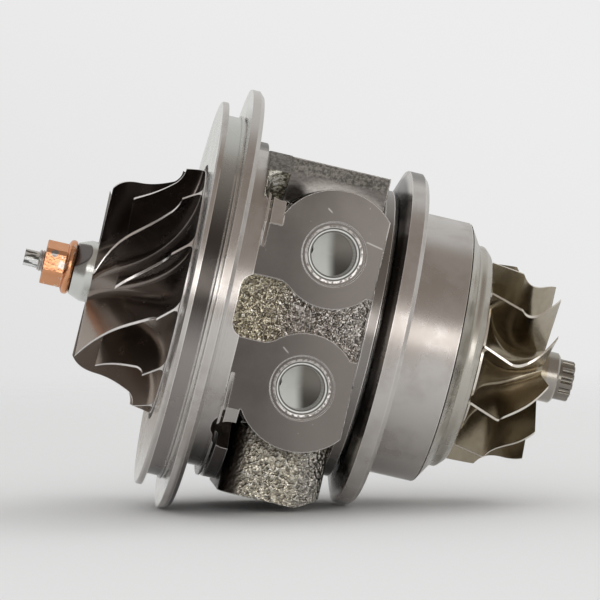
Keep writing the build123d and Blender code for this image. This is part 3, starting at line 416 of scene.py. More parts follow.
def castTones(f, masks, lumps, sparkle):
    # Each place's tone, laid over the last one by its mask; many of them are painted light and shade.
    c = castHousing
    speckle = rise(sparkle, *c["speckles"])
    tone = mixColours(masks["gold"], c["castColour"], c["castGold"])
    # The grain's low places are painted dark as shade in crevices.
    tone = mixColours(rise(sparkle, *c["castGrains"]), c["creviceShade"], tone)
    # The boss's grain, its low places painted dark as shade.
    bossTone = mixColours(rise(sparkle, *c["bossGrains"]), c["bossShade"], c["bossColour"])
    tone = mixColours(masks["boss"], tone, bossTone)

    # Painted shading of the wall: darker towards the lip, with a painted highlight over the pad.
    wallTone = mixColours(rise(f.z, *c["underLipPart"]), c["wallColour"], c["underLip"])
    fillet = fall(f.awayFrom(*c["ports"][0]), c["padReach"], c["padReach"] + c["filletWidth"])
    wallTone = mixColours(fillet * c["filletShare"], wallTone, c["filletHighlight"])
    lip = above(f.z + 2 * lumps, c["lipHeight"], 1.0)
    wallTone = mixColours(lip, wallTone, mixColours(speckle, c["lipShade"], c["lipColour"]))
    tone = mixColours(masks["wall"], tone, wallTone)

    # Painted shade on the boss under the lower pad and on its right side.
    underPad = fall(f.awayFrom(*c["ports"][1]), c["padReach"] + 1.0, c["padReach"] + 5.0)
    edge = least(underPad + rise(f.x, *c["bossRightPart"]), 1.0)
    tone = mixColours(masks["boss"] * edge * c["bossEdgeShare"], tone, c["bossEdge"])

    tone = mixColours(masks["webFace"], tone, mixColours(speckle, c["webShade"], c["webColour"]))
    # The pocket is painted lit round one point, with painted glints, and dark as shade elsewhere.
    glow = fall(f.awayFrom(*c["pocketGlow"]), 1.0, 3.6)
    lit = rise(sparkle + 0.12 * glow, *c["pocketGrains"])
    pocketTone = mixColours(lit, c["pocketLow"], c["pocketHigh"])
    pocketTone = mixColours(glow * rise(sparkle, *c["pocketGlints"]), pocketTone, c["glintColour"])
    tone = mixColours(masks["pocket"], tone, pocketTone)

    rough = 1 - masks["wall"]
    pale = rise(f.x, *c["paleSide"]) * rough * c["paleShare"]
    # Painted glints on the grain's peaks; the web's right end is paled towards the same colour.
    bright = most(rise(sparkle, *c["glints"]) * rough, pale)
    tone = mixColours(bright, tone, c["glintColour"])
    # The hollow beside the boss is painted dark as shade, paler at its left end.
    hollowTone = mixColours(fall(f.x, *c["hollowFrontPart"]), c["hollowShade"], c["hollowFrontColour"])
    tone = mixColours(masks["hollow"], tone, hollowTone)
    return mixColours(masks["shade"], tone, c["shadeColour"])


def makeHousingFinish():
    # Cast skin, with pads, turned rings and ports laid over it and a painted highlight on sharp edges last.
    c = castHousing
    f = Finish("cast housing, turned and milled")
    port, shaded, low, lines, spots, scored = portMasks(f)
    milled = milledMask(f, spots)
    turned = turnedMask(f, milled)
    masks = castMasks(f)
    stains = rise(noise(f.point, 0.05, 4.0, 0.6), 0.42, 0.65)
    # The point is leant, or the noise would go flat wherever a face lies along its grid.
    leant = f.combine(f.x + 0.4 * f.y, f.y - 0.4 * f.x + 0.3 * f.z, f.z - 0.3 * f.y)
    lumps = noise(leant, c["grain"], 1.0, 0.5)
    sparkle = 0.6 * lumps + 0.4 * noise(leant, c["fineGrain"], 2.0)

    base = mixColours(milled, castTones(f, masks, lumps, sparkle), padTones(f, scored))
    base = mixColours(turned, base, turnedTones(f, stains))
    # The cones are painted lit, with painted shade on one side and low down.
    portTone = mixColours(shaded, c["portLitColour"], mixColours(low, c["portShade"], c["portLowShade"]))
    base = mixColours(port, base, mixColours(lines, portTone, c["lineColour"]))
    # Sharp edges get a painted highlight; the wall's corner keeps its dull tone.
    corner = masks["wall"] * fall(f.x, *c["cornerSide"]) * rise(f.z, *c["cornerTop"])
    base = mixColours(f.wearAndSheen(c["sheenEdgeWidth"]) * (1 - port) * (1 - corner), base, c["bareAndSheenColour"])

    machined = least(turned + milled + port, 1.0)
    grainy = (1 - machined) * (1 - masks["wall"] * (c["wallSmooth"] - c["pocketRough"] * masks["pocket"]))
    grainy = grainy * (1 - c["hollowSmooth"] * masks["hollow"]) * (1 - c["bossSmooth"] * masks["boss"])
    roughness = c["roughness"] + c["stainDullness"] * stains
    roughness = roughness - c["grainShine"] * grainy - c["turnedShine"] * turned
    facing = mixVectors(turned, f.blur(c["edgeRound"]), f.turned(c["latheLean"], c["lathePitch"]))
    return f.finish({}, Base_Color=base,
                    Metallic=1 - c["dryness"] * (port + masks["pocket"] * (1 - machined)),
                    Roughness=roughness, Normal=f.bump(lumps * grainy, c["grainDepth"], facing))


turnedPieces = {
    "lathePitch": 0.12, "flatRound": 0.9,
    "streakColour": colour(0.16, 0.17, 0.16), "brightColour": colour(0.97, 0.97, 0.96),
}


def makeTurnedFinish(name, tone, dark, roughness, lean, flatEnd=None):
    # What lies left of flatEnd has bright streaked flats and no lathe marks.
    c = turnedPieces
    f = Finish(name)
    stains = rise(noise(f.point, 0.08, 4.0, 0.6), 0.4, 0.7)
    facing = f.turned(lean, c["lathePitch"])
    flats = 0.0
    if flatEnd is not None:
        flats = fall(f.x, flatEnd - 0.05, flatEnd)
        facing = mixVectors(flats, facing, f.blur(c["flatRound"]))
        stains = least(stains, 1 - flats)
        streaks = rise(noise(f.combine(f.x * 0.15, f.y, f.z), 1.3, 2.0), 0.44, 0.52)
        tone = mixColours(flats, tone, mixColours(streaks, c["streakColour"], c["brightColour"]))
    return f.finish({"Metallic": 1.0}, Base_Color=mixColours(stains, tone, dark),
                    Roughness=roughness + 0.1 * stains - 0.1 * flats, Normal=facing)


wheelSkin = {"lowPart": (-12.0, 22.0), "lumpSize": 2.5, "lumpDepth": 0.02, "edgeRound": 0.12}


def makeWheelFinish(name, look):
    # The cut blade edges are bright and the cast faces dark, and the lower side is painted another tone as
    # painted light.
    c = wheelSkin
    f = Finish(name)
    edge = f.start.node("ShaderNodeAttribute", {"attribute_name": "cutEdge"}, {}, "Fac")
    cloud = noise(f.point, look["cloudSize"], 4.0)
    nose = above(f.x * look["noseSide"], look["noseStart"], 0.4)
    nose = nose * below(f.radius, look["noseRadius"], 0.3)
    base = mixColours(cloud, look["faceColour"], look["faceColourTwo"])
    # Painted light: the lower side of the wheel takes another tone.
    base = mixColours(rise(f.z * -1, *c["lowPart"]) * look["lowShare"], base, look["lowColour"])
    base = mixColours(nose, mixColours(edge, base, look["edgeColour"]), look["noseColour"])
    if "flatPoint" in look:   # the balance flat ground on the nose
        fromFlat = vectorMaths("SUBTRACT", f.point, look["flatPoint"])
        beyond = vectorMaths("DOT_PRODUCT", fromFlat, look["flatNormal"], "Value")
        base = mixColours(rise(beyond, -0.06, -0.03) * nose, base, look["flatColour"])
    if "driveStart" in look:   # the twelve-point drive end
        base = mixColours(above(f.x, look["driveStart"]), base, look["driveColour"])
    lumps = noise(f.point, c["lumpSize"], 3.0)
    return f.finish({"Metallic": 1.0}, Base_Color=base, Roughness=look["roughness"] + 0.08 * cloud,
                    Normal=f.bump(lumps, c["lumpDepth"], f.blur(c["edgeRound"])))


lockNut = {
    "faceX": -36.7, "endX": -45.1, "bore": 2.75, "turn": 27.0,
    "flangeRadius": 7.55, "flangeLength": 2.6, "flangeDrop": 1.3,
    "acrossFlats": 11.2, "cornerRound": 0.35,
    "chamferLength": 1.1, "chamferSlope": 2.2, "chamferRadius": 5.9,
    "copper": colour(0.86, 0.44, 0.24), "copperTwo": colour(0.70, 0.31, 0.15),
    "rubColour": colour(0.95, 0.74, 0.60), "rubWidth": 0.35, "rubShare": 0.8,
    # The back of the nut is painted dark as shade in the gap against the wheel.
    "backShade": colour(0.22, 0.12, 0.07), "wornPart": (0.60, 0.64), "wornShare": 0.7,
    "roughness": 0.22, "bareDullness": 0.12,
    # Two marks, each with its place, and how far it reaches with its ragged edge.
    "spot": (-42.7, -4.9, 2.7), "spotReach": (1.5, 1.9), "spotRagged": 1.2,
    "scrape": (-40.3, -6.2, 0.0), "scrapeReach": (1.9, 2.4), "scrapeRagged": 2.0,
    "spotColour": colour(0.34, 0.32, 0.31), "scrapeColour": colour(0.86, 0.80, 0.74),
}


def makeCopperFinish():
    # Clouded copper, pale on its edges and painted dark at its back as shade against the wheel, with a spot
    # and a scrape.
    c = lockNut
    f = Finish("copper plate")
    ragged = noise(f.point, 1.5, 3.0, 0.6)
    fromSpot = vectorMaths("DISTANCE", f.point, c["spot"], "Value")
    fromScrape = vectorMaths("DISTANCE", f.point, c["scrape"], "Value")
    spot = fall(fromSpot + ragged * c["spotRagged"], *c["spotReach"])
    scrape = fall(fromScrape + ragged * c["scrapeRagged"], *c["scrapeReach"])
    wearAndSheen = rise(noise(f.combine(f.x, f.y * 0.4, f.z * 0.4), 0.8, 4.0, 0.6), *c["wornPart"])
    bare = most(wearAndSheen * c["wornShare"], scrape)
    base = mixColours(noise(f.point, 0.25, 2.0), c["copperTwo"], c["copper"])
    base = mixColours(f.wearAndSheen(c["rubWidth"]) * c["rubShare"], base, c["rubColour"])
    # The back of the nut is painted dark as shade in the gap against the wheel.
    base = mixColours(rise(f.x, c["faceX"] - 0.45, c["faceX"] - 0.25), base, c["backShade"])
    base = mixColours(spot, mixColours(bare, base, c["scrapeColour"]), c["spotColour"])
    return f.finish({"Metallic": 1.0}, Base_Color=base, Roughness=c["roughness"] + c["bareDullness"] * bare,
                    Normal=f.bump(noise(f.point, 1.2, 2.0), 0.12, f.blur(0.3)))


def makePlainFinish(name, tone, roughness, metallic):
    # One colour that goes a fifth darker in clouds.
    f = Finish(name)
    darker = colour(*[0.8 * part for part in tone[:3]])
    return f.finish({"Metallic": metallic}, Base_Color=mixColours(noise(f.point, 0.6, 3.0), tone, darker),
                    Roughness=roughness + 0.06 * noise(f.point, 1.5))


compressorLook = {
    # Faces painted near black as a painted dark reflection; the lower side painted lighter and browner as
    # painted light.
    "faceColour": colour(0.145, 0.127, 0.117), "faceColourTwo": colour(0.23, 0.205, 0.19),
    "lowColour": colour(0.40, 0.335, 0.285), "lowShare": 0.85, "cloudSize": 0.3, "roughness": 0.22,
    "edgeColour": colour(0.88, 0.84, 0.82), "noseColour": colour(0.70, 0.71, 0.68),
    "noseSide": -1, "noseStart": 31.2, "noseRadius": 8.6,
    "flatPoint": (-36.7, -4.585, 3.713), "flatNormal": (-0.5446, -0.6518, 0.5278),
    "flatColour": colour(0.30, 0.28, 0.27),
}
turbineLook = {
    "faceColour": colour(0.28, 0.24, 0.175), "faceColourTwo": colour(0.46, 0.41, 0.32),
    "lowColour": colour(0.28, 0.24, 0.175), "lowShare": 0.3, "cloudSize": 0.5, "roughness": 0.18,
    "edgeColour": colour(0.85, 0.80, 0.72), "noseColour": colour(0.40, 0.375, 0.335),
    "noseSide": 1, "noseStart": 97.0, "noseRadius": 8.0,
    "driveStart": 100.5, "driveColour": colour(0.25, 0.23, 0.20),
}
# Turned finishes by slot: name, colour, stains, roughness, lean of the lathe marks, end of the flats.
turnedLooks = {
    "plate": ("turned aluminium plate", colour(0.93, 0.93, 0.91), colour(0.8, 0.8, 0.78), 0.28, 0.8),
    "bronze": ("bronze", colour(0.62, 0.47, 0.24), colour(0.5, 0.37, 0.2), 0.3, 0.25),
    "seal_iron": ("seal iron", colour(0.30, 0.29, 0.28), colour(0.22, 0.21, 0.2), 0.35, 0.2),
    "shield_steel": ("pressed shield", colour(0.53, 0.505, 0.455), colour(0.44, 0.41, 0.36), 0.26, 0.8),
    "shaft_steel": ("ground shaft", colour(0.66, 0.65, 0.63), colour(0.5, 0.48, 0.46), 0.28, 0.6, -46.6),
}
# Plain finishes by slot: name, colour, roughness, metallic.
plainLooks = {
    "seal_rubber": ("seal rubber", colour(0.03, 0.03, 0.03), 0.55, 0.0),
    "spring_steel": ("spring steel", colour(0.25, 0.24, 0.23), 0.35, 1.0),
    "sheet_steel": ("sheet steel", colour(0.55, 0.54, 0.52), 0.32, 1.0),
    "screw_steel": ("blackened screws", colour(0.18, 0.17, 0.17), 0.4, 1.0),
}
finishes = {
    "cast_housing": makeHousingFinish(),
    "wheel_aluminium": makeWheelFinish("cast wheel aluminium", compressorLook),
    "turbine_alloy": makeWheelFinish("cast turbine alloy", turbineLook),
    "copper_plate": makeCopperFinish(),
    **{slot: makeTurnedFinish(*look) for slot, look in turnedLooks.items()},
    **{slot: makePlainFinish(*look) for slot, look in plainLooks.items()},
}

slotOf = {part["node"]: part["material_slot"] for part in frame["record"]["subparts"]}
for name, node in frame["nodes"].items():
    node.data.materials.clear()
    node.data.materials.append(finishes[slotOf[name]])
    node.data.polygons.foreach_set("material_index", np.zeros(len(node.data.polygons), np.int32))
print("finishes on CAD nodes")


def buildPiece(name, grids, finish):
    # Each grid is (points in rows and columns, value of cutEdge, rows closed, columns closed).
    points, faces, cuts = [], [], []
    start = 0
    for grid, cut, closedRows, closedColumns in grids:
        rows, columns = grid.shape[:2]
        index = start + np.arange(rows * columns).reshape(rows, columns)
        if closedRows:
            index = np.vstack([index, index[:1]])
        if closedColumns:
            index = np.hstack([index, index[:, :1]])
        quads = np.stack([index[:-1, :-1], index[1:, :-1], index[1:, 1:], index[:-1, 1:]], -1)
        points.append(grid.reshape(-1, 3))
        faces.append(quads.reshape(-1, 4))
        cuts.append(np.broadcast_to(cut, quads.shape[:2]).reshape(-1))
        start += rows * columns
    mesh = bpy.data.meshes.new(name)
    mesh.from_pydata((np.concatenate(points) * mm).tolist(), [], np.concatenate(faces).tolist())
    cutEdge = mesh.attributes.new("cutEdge", "FLOAT", "FACE")
    cutEdge.data.foreach_set("value", np.concatenate(cuts).astype(np.float32))
    shell = bmesh.new()
    shell.from_mesh(mesh)
    bmesh.ops.remove_doubles(shell, verts=shell.verts, dist=0.002 * mm)
    bmesh.ops.recalc_face_normals(shell, faces=shell.faces)
    shell.to_mesh(mesh)
    shell.free()
    mesh.polygons.foreach_set("use_smooth", np.ones(len(mesh.polygons), bool))
    mesh.set_sharp_from_angle(angle=math.radians(38))
    mesh.materials.append(finish)
    piece = bpy.data.objects.new(name, mesh)
    bpy.context.scene.collection.objects.link(piece)
    return piece


def around(x, radius, angle):
    # Angles in degrees count from minus Y, positive towards minus Z.
    turn = np.radians(angle)
    return np.stack(np.broadcast_arrays(x, -radius * np.cos(turn), -radius * np.sin(turn)), -1)


def lathe(x, radius, count):
    # A profile carried round the shaft axis: column k stands at the angle 360 k / count.
    return around(np.array(x)[:, None], np.array(radius)[:, None], np.arange(count)[None, :] * 360 / count)


def bladeGrids(root, tip, wrap, slope, thickness, fillet, firstAngle):
    # A radial-fibre blade: u runs along root(u) and tip(u), which give x and radius, and depth crosses from
    # root to tip. The camber angle firstAngle + wrap(x) depends on x alone. Half the thickness is laid off
    # to each side, and near the root a quarter-round: fillet * (1 - sqrt(1 - (1 - depth / fillet) ^ 2)).
    u = np.linspace(0, 1, 57)[:, None]
    rootX, rootR = root(u)
    tipX, tipR = tip(u)
    span = np.hypot(tipX - rootX, tipR - rootR)
    sunk = -0.35   # the foot stands this far inside the hub
    low = np.concatenate([[sunk], fillet * np.array([0.0, 0.08, 0.2, 0.4, 0.7, 1.0])])[None, :]
    high = fillet + (span - fillet) * np.linspace(0, 1, 10)[None, 1:]
    depth = np.concatenate([low + 0 * span, high], 1)
    x = rootX + (tipX - rootX) * depth / span
    r = rootR + (tipR - rootR) * depth / span
    inside = np.clip(1 - depth / fillet, 0, 1)
    flare = fillet * (1 - np.sqrt(1 - inside ** 2)) * np.sqrt(1 + (r * np.radians(slope(x))) ** 2)
    half = np.degrees((thickness(r) / 2 + flare) / r)
    middle = firstAngle + wrap(x)
    one, two = around(x, r, middle + half), around(x, r, middle - half)
    dark = [one, two, np.stack([one[:, 0], two[:, 0]])]
    cut = [np.stack([one[0], two[0]]), np.stack([one[-1], two[-1]]), np.stack([one[:, -1], two[:, -1]])]
    return [(grid, 0.0, False, False) for grid in dark] + [(grid, 1.0, False, False) for grid in cut]


compressorWheel = {
    "bladeFront": -31.4, "discFace": -7.6, "discBack": -6.7, "back": -3.9, "bore": 3.0,
    "backRadius": 10.0, "backFoot": 12.5,
    "noseRadius": 8.5, "noseEnd": -36.7, "noseCone": 3.4, "noseEndRadius": 7.2,
    "inletRadius": 27.0, "outletRadius": 34.4, "shroudTurn": -24.2, "shroudEnd": -12.9, "shroudArc": 14.9,
    "blades": 6, "firstAngle": -1.5, "splitterHub": 17.06, "splitterShroud": 6.05,
    "turnPerLength": 1.5, "entryTurn": 17.2, "entryLength": 3.4, "fillet": 1.7,
    "thickness": 1.5, "thickRadius": 5.5, "thinning": 0.85, "thinningLength": 30.9,
}


def buildCompressorWheel():
    c = compressorWheel
    hubX, hubR = c["discFace"] - c["bladeFront"], c["outletRadius"] - c["noseRadius"]
    shroudX, shroudR = c["shroudEnd"] - c["shroudTurn"], c["outletRadius"] - c["inletRadius"]
    straight = c["shroudTurn"] - c["bladeFront"]

    def root(u, start=0.0):
        # A quarter ellipse from the nose to the disc, begun at start degrees.
        turn = np.radians(start + (90 - start) * u)
        return c["bladeFront"] + hubX * np.sin(turn), c["outletRadius"] - hubR * np.cos(turn)

    def tip(u, start=0.0):
        # Straight, then a quarter ellipse out to the disc's radius, begun start millimetres along.
        along = start + (straight + c["shroudArc"] - start) * u
        turn = np.radians(90 * np.clip((along - straight) / c["shroudArc"], 0, 1))
        return (np.minimum(c["bladeFront"] + along, c["shroudTurn"] + shroudX * np.sin(turn)),
                c["outletRadius"] - shroudR * np.cos(turn))

    def wrap(x):
        # Minus (turnPerLength * run + entryTurn * (1 - exp(-run / entryLength))).
        run = x - c["bladeFront"]
        return -(c["turnPerLength"] * run + c["entryTurn"] * (1 - np.exp(-run / c["entryLength"])))

    def slope(x):
        # The steepness of wrap, without its sign.
        run = x - c["bladeFront"]
        return c["turnPerLength"] + c["entryTurn"] / c["entryLength"] * np.exp(-run / c["entryLength"])

    def thickness(r):
        # Falls evenly with the radius.
        return c["thickness"] - c["thinning"] * (r - c["thickRadius"]) / c["thinningLength"]

    # The hub's profile: back, disc rim, quarter ellipse, nose, its cone and its end face.
    arcX, arcR = root(np.linspace(1, 0, 49))
    noseX = np.linspace(c["bladeFront"], c["noseEnd"] + c["noseCone"], 8)[1:]
    coneX = np.linspace(noseX[-1], c["noseEnd"], 8)[1:]
    coneR = np.linspace(c["noseRadius"], c["noseEndRadius"], 8)[1:]
    faceR = np.linspace(c["noseEndRadius"], c["bore"], 10)[1:]
    x = np.concatenate([[c["back"], c["back"], c["discBack"], c["discBack"], c["discFace"]],
                        arcX[1:], noseX, coneX, np.full(9, c["noseEnd"])])
    r = np.concatenate([[c["bore"], c["backRadius"], c["backFoot"], c["outletRadius"], c["outletRadius"]],
                        arcR[1:], np.full(7, c["noseRadius"]), coneR, faceR])
    hub = lathe(x, r, 144)
    # The balance flat: what stands beyond its plane is laid back on the plane.
    normal = np.array(compressorLook["flatNormal"])
    proud = np.maximum((hub - np.array(compressorLook["flatPoint"])) @ normal, 0)
    proud = proud * (x[:, None] < c["bladeFront"] - 0.5)
    hub = hub - proud[..., None] * normal
    rim = np.zeros((len(x), 1))
    rim[3] = 1.0
    grids = [(hub, rim, True, True)]
    pitch = 360 / c["blades"]
    laws = (wrap, slope, thickness, c["fillet"])
    for k in range(c["blades"]):
        grids += bladeGrids(root, tip, *laws, c["firstAngle"] + pitch * k)
        grids += bladeGrids(lambda u: root(u, c["splitterHub"]), lambda u: tip(u, c["splitterShroud"]),
                            *laws, c["firstAngle"] + pitch * (k + 0.5))
    piece = buildPiece("compressorWheel", grids, finishes["wheel_aluminium"])
    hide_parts("compressor_wheel")
    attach(piece, "rotor")


turbineWheel = {
    "joint": 74.2, "jointRadius": 8.75,
    "inlet": 75.4, "discRadius": 23.0, "discFace": 76.4, "faceShare": 0.12,
    "exit": 95.4, "hubEnd": 97.4, "hubRadius": 7.1, "noseEnd": 100.6, "noseBreak": 0.6,
    "tipRadius": 28.4, "corner": 84.1, "knee": 86.2,
    "throat": 90.5, "throatRadius": 24.6, "exitRadius": 24.9,
    "tipRuns": (8.7, 7.9, 4.9),   # lengths of the tip's straight, bend and exit
    "blades": 11, "firstAngle": -9.0, "lean": 0.8, "turnStart": 83.0, "exitTurn": 0.284, "turnPower": 1.9,
    "fillet": 1.5, "thickness": 2.0, "thickRadius": 4.1, "thinning": 1.4, "thinningLength": 25.8,
    "driveRadius": 5.7, "driveLength": 4.5, "driveShoulder": 0.9, "driveBreak": 0.3,
    "drivePoints": 12, "notchRadius": 0.75,
}


def buildTurbineWheel():
    c = turbineWheel
    arcX, arcR = c["hubEnd"] - c["discFace"], c["discRadius"] - c["hubRadius"]
    lastTurn = math.degrees(math.acos((c["hubEnd"] - c["exit"]) / arcX))
    straightRun, bendRun, exitRun = c["tipRuns"]

    def root(u):
        # A quarter ellipse from the disc to the nose, begun at the disc's front corner.
        turn = np.radians(lastTurn * u)
        back = (c["discFace"] - c["inlet"]) * np.clip(1 - u / c["faceShare"], 0, 1)
        return c["hubEnd"] - arcX * np.cos(turn) - back, c["discRadius"] - arcR * np.sin(turn)

    def tip(u):
        # Straight to the corner, a parabola down to the throat, straight to the exit.
        along = (straightRun + bendRun + exitRun) * u
        bend = np.clip((along - straightRun) / bendRun, 0, 1)
        after = np.clip((along - straightRun - bendRun) / exitRun, 0, 1)
        x = c["inlet"] + np.minimum(along, straightRun) + 2 * bend * (1 - bend) * (c["knee"] - c["corner"])
        x = x + bend ** 2 * (c["throat"] - c["corner"]) + after * (c["exit"] - c["throat"])
        r = c["tipRadius"] * (1 - bend) ** 2 + c["throatRadius"] * (1 - (1 - bend) ** 2)
        return x, r + after * (c["exitRadius"] - c["throatRadius"])

    def wrap(x):
        # lean * (x - inlet) - exitTurn * (x - turnStart) ^ turnPower, the second part only past turnStart.
        past = np.maximum(x - c["turnStart"], 0)
        return c["lean"] * (x - c["inlet"]) - c["exitTurn"] * past ** c["turnPower"]

    def slope(x):
        # The steepness of wrap.
        past = np.maximum(x - c["turnStart"], 0)
        return c["lean"] - c["exitTurn"] * c["turnPower"] * past ** (c["turnPower"] - 1)

    def thickness(r):
        # Falls evenly with the radius.
        return c["thickness"] - c["thinning"] * (r - c["thickRadius"]) / c["thinningLength"]

    # The hub's profile: joint, disc rim, quarter ellipse and nose.
    turn = np.radians(np.linspace(0, 90, 41))
    count = 288
    angle = np.arange(count) * 360 / count
    x = np.concatenate([[c["joint"], c["joint"], c["inlet"], c["inlet"]], c["hubEnd"] - arcX * np.cos(turn),
                        [c["noseEnd"] - c["noseBreak"], c["noseEnd"]]])
    r = np.concatenate([[0.0, c["jointRadius"], c["jointRadius"] + 1.0, c["discRadius"]],
                        c["discRadius"] - arcR * np.sin(turn),
                        [c["hubRadius"], c["hubRadius"] - c["noseBreak"]]])
    # The drive end: its radius falls into a round notch at each of the points,
    # by sqrt(notchRadius ^ 2 - side ^ 2), where side is the way round from the middle of the notch.
    pitch = 360 / c["drivePoints"]
    side = c["driveRadius"] * np.sin(np.radians((angle + pitch / 2) % pitch - pitch / 2))
    notch = np.sqrt(np.maximum(c["notchRadius"] ** 2 - side ** 2, 0))
    shoulder, end, edge = c["driveShoulder"], c["driveLength"], c["driveBreak"]
    driveX = c["noseEnd"] + np.array([0.0, shoulder, shoulder, end - edge, end, end])
    inset = np.array([0.0, 0.0, 0.0, 0.0, edge, c["driveRadius"]])
    cut = np.array([0.0, 0.0, 1.0, 1.0, 1.0, 0.0])
    driveR = np.maximum(c["driveRadius"] - inset[:, None] - cut[:, None] * notch[None, :], 0)
    drive = around(driveX[:, None], driveR, angle[None, :])
    body = np.concatenate([lathe(x, r, count), drive])
    rim = np.zeros((len(body) - 1, 1))
    rim[3] = 1.0
    grids = [(body, rim, False, True)]
    for k in range(c["blades"]):
        firstAngle = c["firstAngle"] + 360 / c["blades"] * k
        grids += bladeGrids(root, tip, wrap, slope, thickness, c["fillet"], firstAngle)
    piece = buildPiece("turbineWheel", grids, finishes["turbine_alloy"])
    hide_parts("turbine_wheel")
    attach(piece, "rotor")


def buildLockNut():
    # A profile in x. Its radius at each angle is the smaller of the hexagon and the chamfer's cone, and
    # along the flange the larger of the hexagon and the flange.
    c = lockNut
    count = 240
    angle = np.arange(count)[None, :] * 360 / count
    apothem = c["acrossFlats"] / 2
    fromFlat = np.radians((angle - c["turn"]) % 60 - 30)
    corner = apothem / math.cos(math.pi / 6)
    hexagon = np.minimum(apothem / np.cos(fromFlat), corner - c["cornerRound"])
    along = np.linspace(0.0, 1.0, 13)
    flangeEnd = c["faceX"] - c["flangeLength"]
    chamferStart = c["endX"] + c["chamferLength"]
    x = np.concatenate([c["faceX"] - c["flangeLength"] * along,
                        np.linspace(flangeEnd - 0.1, chamferStart + 0.1, 8),
                        np.linspace(chamferStart, c["endX"], 12)])
    cone = (c["chamferRadius"] + c["chamferSlope"] * np.maximum(x - c["endX"], 0))[:, None]
    shape = np.minimum(hexagon, cone)
    # The flange is a half oval: radius = flangeRadius - flangeDrop * |2 along - 1| ^ 3.
    flange = c["flangeRadius"] - c["flangeDrop"] * np.abs(2 * along - 1) ** 3
    shape[:13] = np.maximum(flange[:, None], hexagon)
    outer = around(x[:, None], shape, angle)
    # The flat end face has one more ring near the bore.
    innerX = np.array([c["endX"], c["endX"], c["faceX"]])
    innerR = np.array([c["bore"] + 0.5, c["bore"], c["bore"]])
    inner = around(innerX[:, None], innerR[:, None], angle)
    grids = [(np.concatenate([outer, inner]), 0.0, True, True)]
    piece = buildPiece("lockNut", grids, finishes["copper_plate"])
    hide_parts("lock_nut")
    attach(piece, "rotor")


shaftThread = {"start": -46.65, "end": -45.05, "root": 2.6, "crest": 2.98, "pitch": 0.75, "runout": 0.25}


def buildShaftThread():
    # Radius = root + height * triangle wave of (x / pitch - angle / turn), cut off flat at its crests.
    c = shaftThread
    count = 96
    angle = np.arange(count)[None, :] * 360 / count
    x = np.linspace(c["start"], c["end"], 41)[:, None]
    wave = 1 - np.abs(((x / c["pitch"] - angle / 360) % 1) * 2 - 1)
    runout = np.clip((x - c["start"]) / c["runout"], 0, 1)
    radius = c["root"] + (c["crest"] - c["root"]) * np.minimum(wave * 1.3, 1) * runout
    middle = np.zeros((1, count))
    rows = [around(x[:1], middle, angle), around(x, radius, angle), around(x[-1:], middle, angle)]
    grids = [(np.concatenate(rows), 0.0, False, True)]
    piece = buildPiece("shaftThread", grids, finishes["shaft_steel"])
    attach(piece, "rotor")


buildCompressorWheel()
buildTurbineWheel()
buildLockNut()
buildShaftThread()
print("wheels, nut and thread built")


studio = {
    "lens": 204.0, "cameraPlace": (-55.21, -938.35, 8.4),
    "heading": 4.961, "pitch": -0.184, "roll": 12.976,
    # The floor touches both rims. Its middle lies floorShift along it from the touching point.
    "floorTilt": 13.6, "floorTouch": (2.9, 0.0, -59.0), "floorShift": 35.0, "floorRadius": 900.0,
    "floorColour": colour(0.80, 0.80, 0.80), "floorFade": (0.3, 0.98),   # fades out over this part of it
    # The background, above and below.
    "paleColour": colour(0.845, 0.845, 0.845), "lowColour": colour(0.73, 0.73, 0.73),
    # What metal mirrors: the wall behind the object, the side of the camera, and left and right of it.
    "roomColour": colour(0.70, 0.70, 0.69), "frontColour": colour(0.36, 0.325, 0.295),
    "leftColour": colour(0.13, 0.115, 0.105), "rightColour": colour(0.62, 0.61, 0.59),
    "fillColour": colour(0.80, 0.80, 0.795),   # light from all round
    "lampAim": (30, 0, 0),
    "lamps": {   # place, width and height in millimetres, power in watts, seen in reflections
        "front softbox": ((100, -960, 190), 1300, 300, 2.3, True),
        "top light": ((350, 250, 900), 500, 500, 1.2, False),
    },
}


def placeCamera():
    c = studio
    data = bpy.data.cameras.new("camera")
    data.lens = c["lens"]
    data.sensor_width = 36.0
    camera = bpy.data.objects.new("camera", data)
    turn = (Matrix.Rotation(-math.radians(c["heading"]), 4, "Z")
            @ Matrix.Rotation(math.radians(90 + c["pitch"]), 4, "X")
            @ Matrix.Rotation(math.radians(c["roll"]), 4, "Z"))
    camera.matrix_world = Matrix.Translation(Vector(c["cameraPlace"]) * mm) @ turn
    bpy.context.scene.collection.objects.link(camera)
    bpy.context.scene.camera = camera


